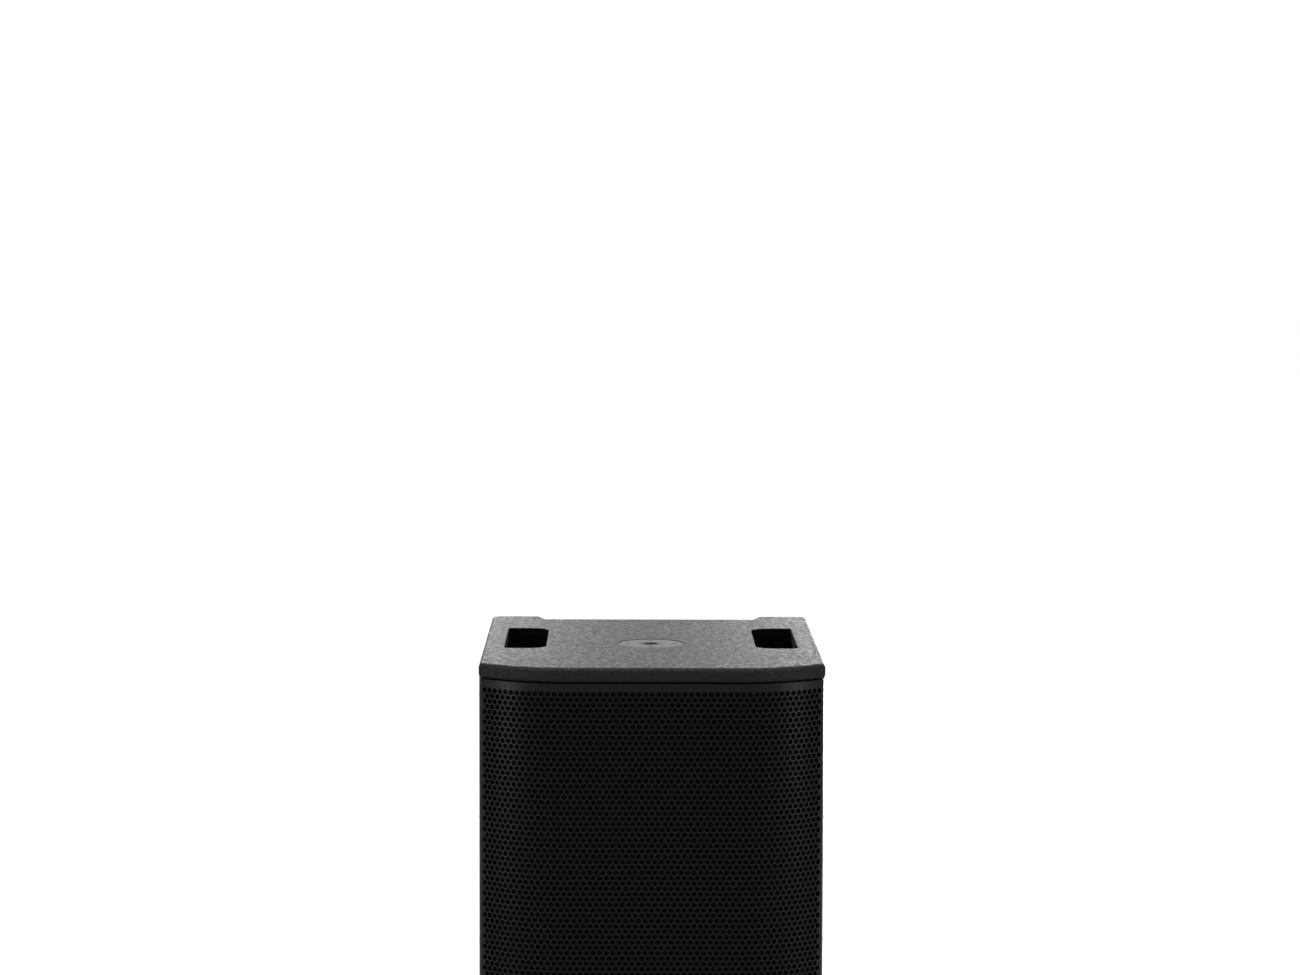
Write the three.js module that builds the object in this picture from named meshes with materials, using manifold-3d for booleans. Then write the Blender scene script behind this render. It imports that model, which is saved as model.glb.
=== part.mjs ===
// A powered fifteen-inch subwoofer for public address: a portrait plywood cabinet with a bowed front behind
// a wrap-round grille, two hand pockets and a pole socket in its top, and an amplifier set into its back.
// Units are millimetres. +Z is up, the grille faces -Y, and the origin is on the floor under the middle.

import * as THREE from "three";
import { mergeVertices } from "three/addons/utils/BufferGeometryUtils.js";
import Module from "manifold-3d";

const wasm = await Module();
wasm.setup();

// ---------------------------------------------------------------- driving dimensions

const cabinetWidth = 450;
const cabinetDepth = 540; // front of the bowed top board to the back of the rear posts
const overallHeight = 580; // feet included
const footHeight = 12;
const lid = 20; // thickness of the top and bottom boards
const board = 15; // thickness of the other outer boards
const baffleBoard = 18;
const edgeRound = 6; // round-over on the top and bottom boards

const flatFrontHalf = 110; // half the width of the flat middle of the front
const bow = 48; // how far the front edge falls back at the sides
const rearCorner = 8; // radius of the upright rear edges
const rearRecess = 33; // how far the back panel lies inside the rear posts
const postReach = 69; // from a side of the cabinet to the inner edge of a rear post
const postSlant = 10; // the post widens by this much towards the back panel

const grilleInset = 1; // the grille lies this far inside the top board's outline
const grilleSheet = 1.5;
const grilleCorner = 10; // radius where the grille turns back along a side
const grilleSeam = 0.6; // gap over and under the grille
const foamSheet = 8;

const wooferHeight = 356; // centre of the woofer above the floor
const wooferRadius = 194;
const amplifierHeight = 330; // centre of the amplifier plate above the floor

// ---------------------------------------------------------------- places worked out from them

const halfWidth = cabinetWidth / 2;
const frontY = -cabinetDepth / 2;
const backY = cabinetDepth / 2;
const sideFrontY = frontY + bow;
const recessY = backY - rearRecess; // outer face of the back panel
const floorTop = footHeight + lid; // upper face of the bottom board
const ceiling = overallHeight - lid; // lower face of the top board
const innerHalf = halfWidth - board;
const baffleY = -208; // front face of the baffle
const baffleBackY = baffleY + baffleBoard;

const bowHalf = halfWidth - flatFrontHalf;
const bowRadius = (bowHalf ** 2 + bow ** 2) / (2 * bow);
const bowCentreY = frontY + bowRadius;

// ---------------------------------------------------------------- materials

const finish = (color, roughness, metalness = 0) =>
  new THREE.MeshStandardMaterial({ color, roughness, metalness });

const texturedPaint = finish(0x2b2b2c, 0.65);
const birchPly = finish(0xb08d5b, 0.7);
const blackSteel = finish(0x17181a, 0.45, 0.6);
const blackFoam = finish(0x0c0c0d, 0.95);
const blackPlastic = finish(0x141415, 0.5);
const softRubber = finish(0x101011, 0.85);
const castFrame = finish(0x1b1c1e, 0.55, 0.4);
const zincSteel = finish(0xa9acb0, 0.35, 0.9);
const ferrite = finish(0x2e2e30, 0.7);
const paperCone = finish(0x161616, 0.9);
const impregnatedCloth = finish(0x1d1b19, 0.85);
const copperWire = finish(0xb4693c, 0.35, 0.9);
const anodised = finish(0x1a1b1d, 0.5, 0.7);
const circuitGreen = finish(0x1f5a37, 0.5);
const wadding = finish(0x8d8f92, 0.95);
const greenLens = finish(0x4fd17a, 0.25);
const redLens = finish(0xd9483b, 0.25);

// ---------------------------------------------------------------- tools

const speaker = new THREE.Group();

function add(name, geometry, material, parent = speaker) {
  const mesh = new THREE.Mesh(geometry, material);
  mesh.name = name;
  parent.add(mesh);
  return mesh;
}

const radians = THREE.MathUtils.degToRad;

// Extrudes a shape along +Z. A bevel chamfers both faces' edges without widening the shape.
function extrude(shape, length, bevel = 0, curveSegments = 2) {
  const geometry = new THREE.ExtrudeGeometry(shape, {
    depth: length - 2 * bevel,
    bevelEnabled: bevel > 0,
    bevelThickness: bevel,
    bevelSize: bevel,
    bevelOffset: -bevel,
    bevelSegments: 1,
    curveSegments,
  });
  return geometry.translate(0, 0, bevel);
}

// A board lying flat: the shape is its plan, and it rises from bottomZ.
function lying(shape, thickness, bottomZ, bevel, curveSegments) {
  return extrude(shape, thickness, bevel, curveSegments).translate(0, 0, bottomZ);
}

// A board standing up: the shape is its front, in X and Z, and it reaches from y back by its thickness.
function standing(shape, thickness, y, bevel, curveSegments) {
  const geometry = extrude(shape, thickness, bevel, curveSegments).rotateX(Math.PI / 2);
  return geometry.translate(0, y + thickness, 0);
}

function polygon(points) {
  return new THREE.Shape(points.map(([x, y]) => new THREE.Vector2(x, y)));
}

// A rectangle from corner to corner with one radius, or one for each corner, anticlockwise from the
// lower left.
function roundedRectangle(left, low, right, high, radius) {
  const [a, b, c, d] = Array.isArray(radius) ? radius : [radius, radius, radius, radius];
  const shape = new THREE.Shape();
  shape.moveTo(left + a, low);
  shape.lineTo(right - b, low);
  shape.absarc(right - b, low + b, b, -Math.PI / 2, 0, false);
  shape.lineTo(right, high - c);
  shape.absarc(right - c, high - c, c, 0, Math.PI / 2, false);
  shape.lineTo(left + d, high);
  shape.absarc(left + d, high - d, d, Math.PI / 2, Math.PI, false);
  shape.lineTo(left, low + a);
  shape.absarc(left + a, low + a, a, Math.PI, 1.5 * Math.PI, false);
  return shape;
}

function circle(x, y, radius, segments = 16) {
  const points = Array.from({ length: segments }, (_, k) => (2 * Math.PI * k) / segments);
  return polygon(points.map((angle) => [x + radius * Math.cos(angle), y + radius * Math.sin(angle)]));
}

// The same rectangle for a piece on either side: side is -1 for the left, and the corner radii swap with it.
function sideRectangle(side, inner, low, outer, high, innerRadius, outerRadius) {
  return side > 0
    ? roundedRectangle(inner, low, outer, high, [innerRadius, outerRadius, outerRadius, innerRadius])
    : roundedRectangle(-outer, low, -inner, high, [outerRadius, innerRadius, innerRadius, outerRadius]);
}

// Turns an outline of [radius, along] pairs about the Y axis. An outline off the axis closes on itself.
function turned(outline, segments = 24) {
  const points = outline.map(([radius, along]) => new THREE.Vector2(radius, along));
  if (THREE.ShapeUtils.isClockWise(points)) points.reverse();
  const onAxis = points.filter((point) => point.x === 0).length === 2;
  if (!onAxis) {
    points.push(points[0].clone());
    return new THREE.LatheGeometry(points, segments);
  }
  while (points[0].x !== 0 || points.at(-1).x !== 0) points.push(points.shift());
  return new THREE.LatheGeometry(points, segments);
}

// The same, turned about the Z axis.
function turnedUpright(outline, segments) {
  return turned(outline, segments).rotateX(Math.PI / 2);
}

function box(low, high) {
  const size = high.map((value, axis) => value - low[axis]);
  const middle = high.map((value, axis) => (value + low[axis]) / 2);
  return new THREE.BoxGeometry(...size).translate(...middle);
}

// A plain rod along Y from one y to another.
function rod(x, z, radius, fromY, toY, segments = 12) {
  const length = toY - fromY;
  const geometry = new THREE.CylinderGeometry(radius, radius, length, segments);
  return geometry.translate(x, fromY + length / 2, z);
}

function toSolid(geometry) {
  const bare = geometry.clone();
  bare.deleteAttribute("normal");
  bare.deleteAttribute("uv");
  const merged = mergeVertices(bare, 1e-3);
  const vertProperties = merged.attributes.position.array;
  const triVerts = new Uint32Array(merged.index.array);
  return new wasm.Manifold(new wasm.Mesh({ numProp: 3, vertProperties, triVerts }));
}

function toGeometry(solid) {
  const { vertProperties, triVerts } = solid.getMesh();
  const geometry = new THREE.BufferGeometry();
  geometry.setAttribute("position", new THREE.BufferAttribute(vertProperties, 3));
  geometry.setIndex(new THREE.BufferAttribute(triVerts, 1));
  geometry.computeVertexNormals();
  return geometry;
}

function cut(body, tools) {
  return toGeometry(tools.reduce((left, tool) => left.subtract(toSolid(tool)), toSolid(body)));
}

function join(pieces) {
  return toGeometry(pieces.map(toSolid).reduce((whole, piece) => whole.add(piece)));
}

// ---------------------------------------------------------------- cabinet boards

// The plan of the top and bottom boards: flat in the middle of the front, swept back to the sides, and
// notched at the back between the two rear posts.
function boardPlan() {
  const sweepEnd = Math.asin(bowHalf / bowRadius);
  const front = 1.5 * Math.PI;
  const postEdge = halfWidth - postReach;
  const plan = new THREE.Shape();
  plan.moveTo(-halfWidth, sideFrontY);
  plan.absarc(-flatFrontHalf, bowCentreY, bowRadius, front - sweepEnd, front, false);
  plan.lineTo(flatFrontHalf, frontY);
  plan.absarc(flatFrontHalf, bowCentreY, bowRadius, front, front + sweepEnd, false);
  plan.lineTo(halfWidth, backY - rearCorner);
  plan.absarc(halfWidth - rearCorner, backY - rearCorner, rearCorner, 0, Math.PI / 2, false);
  plan.lineTo(postEdge, backY);
  plan.lineTo(postEdge - postSlant, recessY);
  plan.lineTo(postSlant - postEdge, recessY);
  plan.lineTo(-postEdge, backY);
  plan.absarc(rearCorner - halfWidth, backY - rearCorner, rearCorner, Math.PI / 2, Math.PI, false);
  return plan;
}

const pocket = {
  inner: halfWidth - 84, // edges of the hand opening, from the middle of the cabinet
  outer: halfWidth - 28,
  front: -76,
  back: 133,
  depth: 92, // of the cup, below the top board
  wall: 3,
  undercut: 9.5, // room for the fingers beyond the opening's outer edge
};

const poleSocket = {
  y: -26,
  plateRadius: 44,
  plateThickness: 3,
  recess: 3.4, // depth of the seat in the top board
  tubeRadius: 15,
  tubeBottom: ceiling - 35,
  boreRadius: 9.2,
  boreFloor: ceiling - 31,
};

function pocketOpening(side) {
  return sideRectangle(side, pocket.inner, pocket.front, pocket.outer, pocket.back, 24, 7);
}

function makeTopBoard() {
  const slab = lying(boardPlan(), lid, ceiling, edgeRound, 4);
  const pockets = [-1, 1].map((side) => lying(pocketOpening(side), lid + 2, ceiling - 1));
  const seatFloor = overallHeight - poleSocket.recess;
  const seat = [[0, seatFloor], [poleSocket.plateRadius + 0.5, seatFloor],
    [poleSocket.plateRadius + 0.5, overallHeight + 1], [0, overallHeight + 1]];
  const hole = [[0, ceiling - 1], [poleSocket.tubeRadius + 0.5, ceiling - 1],
    [poleSocket.tubeRadius + 0.5, overallHeight], [0, overallHeight]];
  const turnedCuts = [turnedUpright(seat, 36), turnedUpright(hole, 20)];
  return cut(slab, [...pockets, ...turnedCuts.map((tool) => tool.translate(0, poleSocket.y, 0))]);
}

add("top_panel", makeTopBoard(), texturedPaint);
add("bottom_panel", lying(boardPlan(), lid, footHeight, edgeRound, 4), texturedPaint);

const rebateX = halfWidth - grilleInset - grilleSheet - 0.5; // the grille's return lies along this face
const rebateEndY = -205;
const sideEdgeY = -217;

function makeSideBoard(side) {
  const plan = new THREE.Shape();
  plan.moveTo(innerHalf, sideEdgeY);
  plan.lineTo(rebateX, sideEdgeY);
  plan.lineTo(rebateX, rebateEndY);
  plan.lineTo(halfWidth, rebateEndY);
  plan.lineTo(halfWidth, backY - rearCorner);
  plan.absarc(halfWidth - rearCorner, backY - rearCorner, rearCorner, 0, Math.PI / 2, false);
  plan.lineTo(innerHalf, backY);
  const mirrored = plan.getPoints(6).map((point) => [side * point.x, point.y]);
  return lying(polygon(mirrored), ceiling - floorTop, floorTop);
}

function makeRearPost(side) {
  const edge = halfWidth - postReach;
  const plan = [[edge - postSlant, recessY - board], [innerHalf, recessY - board], [innerHalf, backY],
    [edge, backY], [edge - postSlant, recessY]];
  return lying(polygon(plan.map(([x, y]) => [side * x, y])), ceiling - floorTop, floorTop);
}

for (const [word, side] of [["left", -1], ["right", 1]]) {
  add(`side_panel_${word}`, makeSideBoard(side), texturedPaint);
  add(`rear_post_${word}`, makeRearPost(side), texturedPaint);
}

const amplifierCut = { half: 115, low: amplifierHeight - 200, high: amplifierHeight + 200 };
const recessHalf = halfWidth - postReach - postSlant;

function makeBackPanel() {
  const face = roundedRectangle(-recessHalf, floorTop, recessHalf, ceiling, 0.5);
  const { half, low, high } = amplifierCut;
  face.holes.push(roundedRectangle(-half, low, half, high, 4));
  return standing(face, board, recessY - board);
}
add("back_panel", makeBackPanel(), texturedPaint);

const port = { shelfLow: 97, openingLow: 42, openingHalf: 195, endY: 60, corner: 10 };
const dividerHalf = board / 2;

function makeBaffle() {
  const face = roundedRectangle(-innerHalf, floorTop, innerHalf, ceiling, 0.5);
  face.holes.push(circle(0, wooferHeight, 177, 36));
  for (const side of [-1, 1]) {
    face.holes.push(sideRectangle(
      side, dividerHalf, port.openingLow, port.openingHalf, port.shelfLow, port.corner, port.corner));
  }
  return standing(face, baffleBoard, baffleY);
}
add("baffle", makeBaffle(), texturedPaint);

const shelfTop = port.shelfLow + board;
add("port_shelf", box([-innerHalf, baffleBackY, port.shelfLow], [innerHalf, port.endY, shelfTop]), birchPly);
const divider = box([-dividerHalf, baffleBackY, floorTop], [dividerHalf, port.endY, port.shelfLow]);
add("port_divider", divider, birchPly);

const brace = { y: 10, bar: 32, shoulder: 465, neckHalf: 122, crossHigh: 300 };

// An upright frame across the box behind the woofer, notched under the hand pockets.
function makeBrace() {
  const face = polygon([[-innerHalf, shelfTop], [innerHalf, shelfTop], [innerHalf, brace.shoulder],
    [brace.neckHalf, brace.shoulder], [brace.neckHalf, ceiling], [-brace.neckHalf, ceiling],
    [-brace.neckHalf, brace.shoulder], [-innerHalf, brace.shoulder]]);
  const windowCorner = 14;
  const halfBar = brace.bar / 2;
  for (const side of [-1, 1]) {
    const low = shelfTop + brace.bar;
    const between = brace.crossHigh + brace.bar;
    const windows = [[low, brace.crossHigh, innerHalf - brace.bar],
      [between, brace.shoulder - brace.bar, innerHalf - brace.bar],
      [brace.shoulder, ceiling - brace.bar, brace.neckHalf - brace.bar]];
    for (const [from, to, outer] of windows) {
      face.holes.push(sideRectangle(side, halfBar, from, outer, to, windowCorner, windowCorner));
    }
  }
  return standing(face, board, brace.y, 0, 1);
}
add("window_brace", makeBrace(), birchPly);

// ---------------------------------------------------------------- hand pockets and pole socket

// A moulded cup screwed up under the top board, open towards the hand and wider than the opening below it.
function makeHandleCup(side) {
  const { wall, inner, outer, front, back, undercut, depth } = pocket;
  const low = ceiling - depth;
  const lip = 12;
  const reach = outer + undercut;
  const shell = lying(
    sideRectangle(side, inner - wall, front - wall, reach + wall, back + wall, 26, 12), depth, low, wall);
  const rim = lying(
    sideRectangle(side, inner - lip, front - lip, reach + wall, back + lip, 8, 3), wall, ceiling - wall);
  const hollow = lying(
    sideRectangle(side, inner, front, reach, back, 24, 10), depth + 2 * wall, low + wall, wall);
  return cut(join([shell, rim]), [hollow]);
}
add("handle_cup_left", makeHandleCup(-1), blackPlastic);
add("handle_cup_right", makeHandleCup(1), blackPlastic);

function makePolePlate() {
  const low = overallHeight - poleSocket.recess;
  const high = low + poleSocket.plateThickness;
  const hole = poleSocket.tubeRadius + 0.3;
  const outline = [[hole, low], [poleSocket.plateRadius, low], [poleSocket.plateRadius, high - 0.8],
    [poleSocket.plateRadius - 0.8, high], [hole, high]];
  return turnedUpright(outline, 36).translate(0, poleSocket.y, 0);
}

function makePoleTube() {
  const high = overallHeight - poleSocket.recess + poleSocket.plateThickness;
  const { tubeRadius, tubeBottom, boreRadius, boreFloor } = poleSocket;
  const outline = [[0, tubeBottom], [tubeRadius, tubeBottom], [tubeRadius, high], [boreRadius + 1.4, high],
    [boreRadius, high - 1.4], [boreRadius, boreFloor], [0, boreFloor]];
  return turnedUpright(outline, 20).translate(0, poleSocket.y, 0);
}
add("pole_plate", makePolePlate(), blackSteel);
add("pole_socket", makePoleTube(), blackSteel);

// ---------------------------------------------------------------- grille and feet

const grilleLow = floorTop + grilleSeam;
const grilleHigh = ceiling - grilleSeam;
const grilleReturnY = rebateEndY - 1;
const cornerX = halfWidth - grilleInset - grilleCorner; // centre of the corner's turn
const cornerOrbit = bowRadius - grilleInset - grilleCorner;
const cornerReach = Math.sqrt(cornerOrbit ** 2 - (cornerX - flatFrontHalf) ** 2);
const cornerY = bowCentreY - cornerReach;
const cornerTurn = Math.atan2(cornerX - flatFrontHalf, cornerReach); // sweep of the bow up to the corner

// Adds the front's line to a shape: the bow at a depth inside the top board's outline, with its corners
// turned back to y. From left to right, or back again.
function traceFront(shape, depth, y, forwards) {
  const front = 1.5 * Math.PI;
  const turn = grilleCorner + grilleInset - depth;
  const radius = bowRadius - depth;
  const ends = forwards ? [-1, 1] : [1, -1];
  for (const side of ends) {
    const first = side === ends[0];
    const arcs = [
      [side * cornerX, cornerY, turn, front + side * (Math.PI / 2), front + side * cornerTurn],
      [side * flatFrontHalf, bowCentreY, radius, front + side * cornerTurn, front],
    ];
    if (first) {
      shape.lineTo(side * (cornerX + turn), y);
      for (const [x, arcY, r, from, to] of arcs) shape.absarc(x, arcY, r, from, to, !forwards);
    } else {
      for (const [x, arcY, r, from, to] of arcs.reverse()) shape.absarc(x, arcY, r, to, from, !forwards);
      shape.lineTo(side * (cornerX + turn), y);
    }
  }
}

function makeGrille() {
  const plan = new THREE.Shape();
  plan.moveTo(-(cornerX + grilleCorner), grilleReturnY);
  traceFront(plan, grilleInset, grilleReturnY, true);
  traceFront(plan, grilleInset + grilleSheet, grilleReturnY, false);
  return lying(plan, grilleHigh - grilleLow, grilleLow, 0, 4);
}
add("grille", makeGrille(), blackSteel);

// The foam sheet follows the inside of the grille, and stops before its corners.
function makeGrilleFoam() {
  const gap = 0.5;
  const outside = grilleInset + grilleSheet + gap;
  const sweep = radians(34);
  const front = 1.5 * Math.PI;
  const plan = new THREE.Shape();
  for (const [depth, clockwise] of [[outside, false], [outside + foamSheet, true]]) {
    const radius = bowRadius - depth;
    const first = clockwise ? 1 : -1;
    plan.absarc(first * flatFrontHalf, bowCentreY, radius, front + first * sweep, front, clockwise);
    plan.absarc(-first * flatFrontHalf, bowCentreY, radius, front, front - first * sweep, clockwise);
  }
  return lying(plan, grilleHigh - grilleLow - 6, grilleLow + 3, 0, 4);
}
add("grille_foam", makeGrilleFoam(), blackFoam);

function makeFoot() {
  const screwHole = 2.6;
  const outline = [[9, 0], [16, 0], [17.5, 1.5], [19, footHeight], [screwHole, footHeight], [screwHole, 8],
    [9, 8]];
  return turnedUpright(outline, 16);
}

const footX = 178;
for (const [row, y] of [["front", -196], ["rear", 208]]) {
  for (const [word, side] of [["left", -1], ["right", 1]]) {
    add(`foot_${row}_${word}`, makeFoot(), softRubber).position.set(side * footX, y, 0);
  }
}

// ---------------------------------------------------------------- woofer

// Its own frame: the Y axis is the woofer's axis, and y is 0 on the front face of the baffle.
const woofer = new THREE.Group();
woofer.position.set(0, baffleY, wooferHeight);
speaker.add(woofer);

const coilGapOuter = 52.4;
const coneRim = [152, 2];
const coneNeck = [50.6, 58];

function annularSector(inner, outer, from, to) {
  const shape = new THREE.Shape();
  shape.absarc(0, 0, outer, from, to, false);
  shape.absarc(0, 0, inner, to, from, true);
  return shape;
}

function makeBasket() {
  const outline = [[wooferRadius, -5], [wooferRadius, 0], [176, 0], [176, 14], [116, 84], [116, 94],
    [103, 94], [103, 112], [coilGapOuter, 112], [coilGapOuter, 108], [98, 108], [98, 90], [110, 90],
    [110, 82], [171, 12], [172, -5]];
  const spokes = 6;
  const tools = [];
  for (let k = 0; k < spokes; k++) {
    const middle = ((k + 0.5) / spokes) * 2 * Math.PI;
    const window = annularSector(121, 166, middle - radians(21), middle + radians(21));
    tools.push(extrude(window, 100).rotateX(Math.PI / 2).translate(0, 102, 0));
  }
  return cut(turned(outline), tools);
}
add("woofer_basket", makeBasket(), castFrame, woofer);
const topPlate = turned([[coilGapOuter, 112], [96, 112], [96, 122], [coilGapOuter, 122]]);
add("woofer_top_plate", topPlate, zincSteel, woofer);
const magnetRing = turned([[58, 122], [99, 122], [100, 123], [100, 145], [99, 146], [58, 146]]);
add("woofer_magnet", magnetRing, ferrite, woofer);

function makeYoke() {
  const vent = 12;
  const pole = 47.6;
  return turned([[vent, 114], [pole - 3, 112], [pole, 114], [pole, 146], [96, 146], [96, 154], [92, 158],
    [vent, 158]]);
}
add("woofer_yoke", makeYoke(), zincSteel, woofer);

const formerInner = 48.9;
const formerOuter = 49.5;

// The coil's former with its winding in the magnet's gap.
function makeVoiceCoil() {
  return turned([[formerInner, 60], [formerOuter, 60], [formerOuter, 104], [51.1, 104], [51.1, 130],
    [formerInner, 130]]);
}
add("voice_coil", makeVoiceCoil(), copperWire, woofer);

function makeCone() {
  const sheet = 1.4;
  const [rimRadius, rimY] = coneRim;
  const [neckRadius, neckY] = coneNeck;
  return turned([[neckRadius, neckY], [neckRadius, neckY + sheet], [rimRadius, rimY + sheet],
    [rimRadius + 4, rimY + sheet], [rimRadius + 4, rimY], [rimRadius, rimY]]);
}
add("cone", makeCone(), paperCone, woofer);

function makeDustCap() {
  const sheet = 1.2;
  const footRadius = 64;
  const [rimRadius, rimY] = coneRim;
  const [neckRadius, neckY] = coneNeck;
  const footY = rimY + ((rimRadius - footRadius) / (rimRadius - neckRadius)) * (neckY - rimY) - 0.4;
  const rise = 22;
  const steps = 3;
  const outer = [];
  const inner = [];
  for (let k = 0; k <= steps; k++) {
    const share = k / steps;
    const y = footY - sheet - rise * (1 - share ** 2);
    outer.push([footRadius * share, y]);
    inner.unshift([footRadius * share, y + sheet]);
  }
  return turned([...outer, ...inner]);
}
add("dust_cap", makeDustCap(), paperCone, woofer);

// A ring of soft sheet from one radius to another, rolled into waves, with a flat rim at each end.
function wavyRing(from, to, y, height, waves, sheet, rim) {
  const steps = waves * 3;
  const front = [[from - rim.inner, y]];
  const back = [[from - rim.inner, y + sheet]];
  for (let k = 0; k <= steps; k++) {
    const radius = from + ((to - from) * k) / steps;
    const lift = (height / 2) * (Math.cos((2 * Math.PI * waves * k) / steps) - 1);
    front.push([radius, y + lift]);
    back.push([radius, y + lift + sheet]);
  }
  front.push([to + rim.outer, y]);
  back.push([to + rim.outer, y + sheet]);
  return turned([...front, ...back.reverse()]);
}

// The surround lies on the cone's rim and on the basket's flange.
function makeSurround() {
  const sheet = 1;
  const rimFoot = wavyRing(156.4, 172.6, -6.2, 5, 2, sheet, { inner: 0, outer: 16 });
  const coneFoot = turned([[147, 0.6], [157, 0.6], [157, -6.2], [156.4, -6.2], [155.6, -0.4], [147, -0.4]]);
  return join([rimFoot, coneFoot]);
}
add("surround", makeSurround(), impregnatedCloth, woofer);
add("spider", wavyRing(52.5, 98.5, 88.6, 5, 3, 0.9, { inner: 2.6, outer: 11 }), impregnatedCloth, woofer);

const terminalX = 15;
add("woofer_terminals", box([-terminalX, 84, -132], [terminalX, 94, -116.5]), blackPlastic, woofer);

// ---------------------------------------------------------------- amplifier

// Its own frame: x runs across the cabinet, y is 0 on the plate's outer face and grows outwards.
const plateThickness = 3;
const plateGap = 1;
const plateFaceY = recessY + plateGap + plateThickness;
const amplifier = new THREE.Group();
amplifier.position.set(0, plateFaceY, amplifierHeight);
speaker.add(amplifier);

const plateHalf = { x: 131, z: 216 };
const inputs = [["left", -84, -48], ["right", -46, -48]];
const outputs = [["left", 46, -48], ["right", 84, -48]];
const level = { x: -70, z: 26 };
const crossover = { x: -22, z: 26 };
const phase = { x: 22, z: 26 };
const lamps = [["power_lamp", 60, greenLens], ["limit_lamp", 80, redLens]];
const lampZ = 26;
const mains = { x: 62, z: -150 };
const power = { x: -6, z: -150 };
const socketBarrel = 11.6;

function makeAmpPlate() {
  const face = roundedRectangle(-plateHalf.x, -plateHalf.z, plateHalf.x, plateHalf.z, 6);
  for (const [, x, z] of [...inputs, ...outputs]) face.holes.push(circle(x, z, socketBarrel + 0.5));
  for (const { x, z } of [level, crossover]) face.holes.push(circle(x, z, 3.9));
  face.holes.push(circle(phase.x, phase.z, 4.3));
  for (const [, x] of lamps) face.holes.push(circle(x, lampZ, 2.7));
  face.holes.push(roundedRectangle(mains.x - 14.5, mains.z - 15.5, mains.x + 14.5, mains.z + 15.5, 1));
  face.holes.push(roundedRectangle(power.x - 9.9, power.z - 13.9, power.x + 9.9, power.z + 13.9, 1));
  return standing(face, plateThickness, -plateThickness);
}
add("amp_plate", makeAmpPlate(), anodised, amplifier);

// A finned block: the fins stand up, so that air rises between them.
function makeHeatSink() {
  const half = 110;
  const base = 5;
  const reach = 24;
  const fins = 21;
  const thickness = 2.4;
  const pitch = (2 * half - thickness) / (fins - 1);
  const comb = [[half, 0], [-half, 0]];
  for (let k = 0; k < fins; k++) {
    const left = -half + k * pitch;
    if (k > 0) comb.push([left, base]);
    comb.push([left, reach], [left + thickness, reach]);
    if (k < fins - 1) comb.push([left + thickness, base]);
  }
  const height = 130;
  return lying(polygon(comb), height, 70);
}
add("heat_sink", makeHeatSink(), anodised, amplifier);

const tub = { half: 112, z: 197, depth: 88, wall: 1.5 };

function makeEnclosure() {
  const { half, z, depth, wall } = tub;
  const back = -plateThickness - depth;
  const shell = box([-half, back, -z], [half, -plateThickness, z]);
  const hollow = box([-half + wall, back + wall, -z + wall], [half - wall, 0, z - wall]);
  const leadHole = rod(30, -115, 6, back - 1, back + wall + 1);
  return cut(shell, [hollow, leadHole]);
}
add("amp_enclosure", makeEnclosure(), zincSteel, amplifier);

const boardY = -28; // outer face of the circuit board
function makeCircuitBoard() {
  const sheet = box([-96, boardY - 1.6, -20], [96, boardY, 184]);
  // Each part: its place across and up, its width, its height and how far it stands off the board.
  const parts = [[-70, 150, 34, 40, 26], [-20, 150, 22, 22, 18], [20, 156, 44, 14, 12],
    [-70, 90, 16, 34, 14], [-40, 90, 16, 34, 14], [74, 150, 22, 46, 20]];
  const blocks = parts.map(([x, z, width, height, reach]) => box(
    [x - width / 2, boardY - 1.6 - reach, z - height / 2], [x + width / 2, boardY - 1, z + height / 2]));
  return join([sheet, ...blocks]);
}
add("amp_board", makeCircuitBoard(), circuitGreen, amplifier);

function makeTransformer() {
  const outline = [[16, -6], [20, 0], [44, 0], [50, -6], [50, -34], [44, -40], [20, -40], [16, -34]];
  return turned(outline, 20).translate(-50, -38, -120);
}
add("supply_transformer", makeTransformer(), copperWire, amplifier);

function makeCapacitor() {
  return turned([[0, -46], [16, -46], [17.5, -44.5], [17.5, 0], [0, 0]], 16).translate(40, boardY - 2, 60);
}
add("supply_capacitor", makeCapacitor(), blackPlastic, amplifier);

// ---------------------------------------------------------------- controls

// A rotary control: a potentiometer held by its bush and nut, its shaft, and a fluted knob with a pointer.
function makePotentiometer() {
  return turned([[3.15, -17], [8.5, -17], [8.5, -4], [3.6, -4], [3.6, 0], [5.6, 0.2], [5.6, 2], [3.6, 2],
    [3.6, 3.4], [3.15, 3.4]], 16);
}

function makeKnob() {
  const flutes = 12;
  const radius = 9;
  const outline = [];
  for (let k = 0; k < 2 * flutes; k++) {
    const angle = (k * Math.PI) / flutes;
    const reach = radius - (k % 2 ? 0.6 : 0);
    outline.push([reach * Math.cos(angle), reach * Math.sin(angle)]);
  }
  const low = 4.4;
  const grip = extrude(polygon(outline), 13, 0.9).rotateX(Math.PI / 2).translate(0, low + 13, 0);
  const pointer = box([-0.8, low + 11, 2], [0.8, low + 13.5, 8]);
  const bore = rod(0, 0, 3.15, low - 1, low + 9, 16);
  return cut(join([grip, pointer]), [bore]);
}

for (const [name, place] of [["level", level], ["crossover", crossover]]) {
  add(`${name}_pot`, makePotentiometer(), zincSteel, amplifier).position.set(place.x, 0, place.z);
  add(`${name}_shaft`, rod(0, 0, 3, -16, 13, 16), zincSteel, amplifier).position.set(place.x, 0, place.z);
  add(`${name}_knob`, makeKnob(), blackPlastic, amplifier).position.set(place.x, 0, place.z);
}

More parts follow.
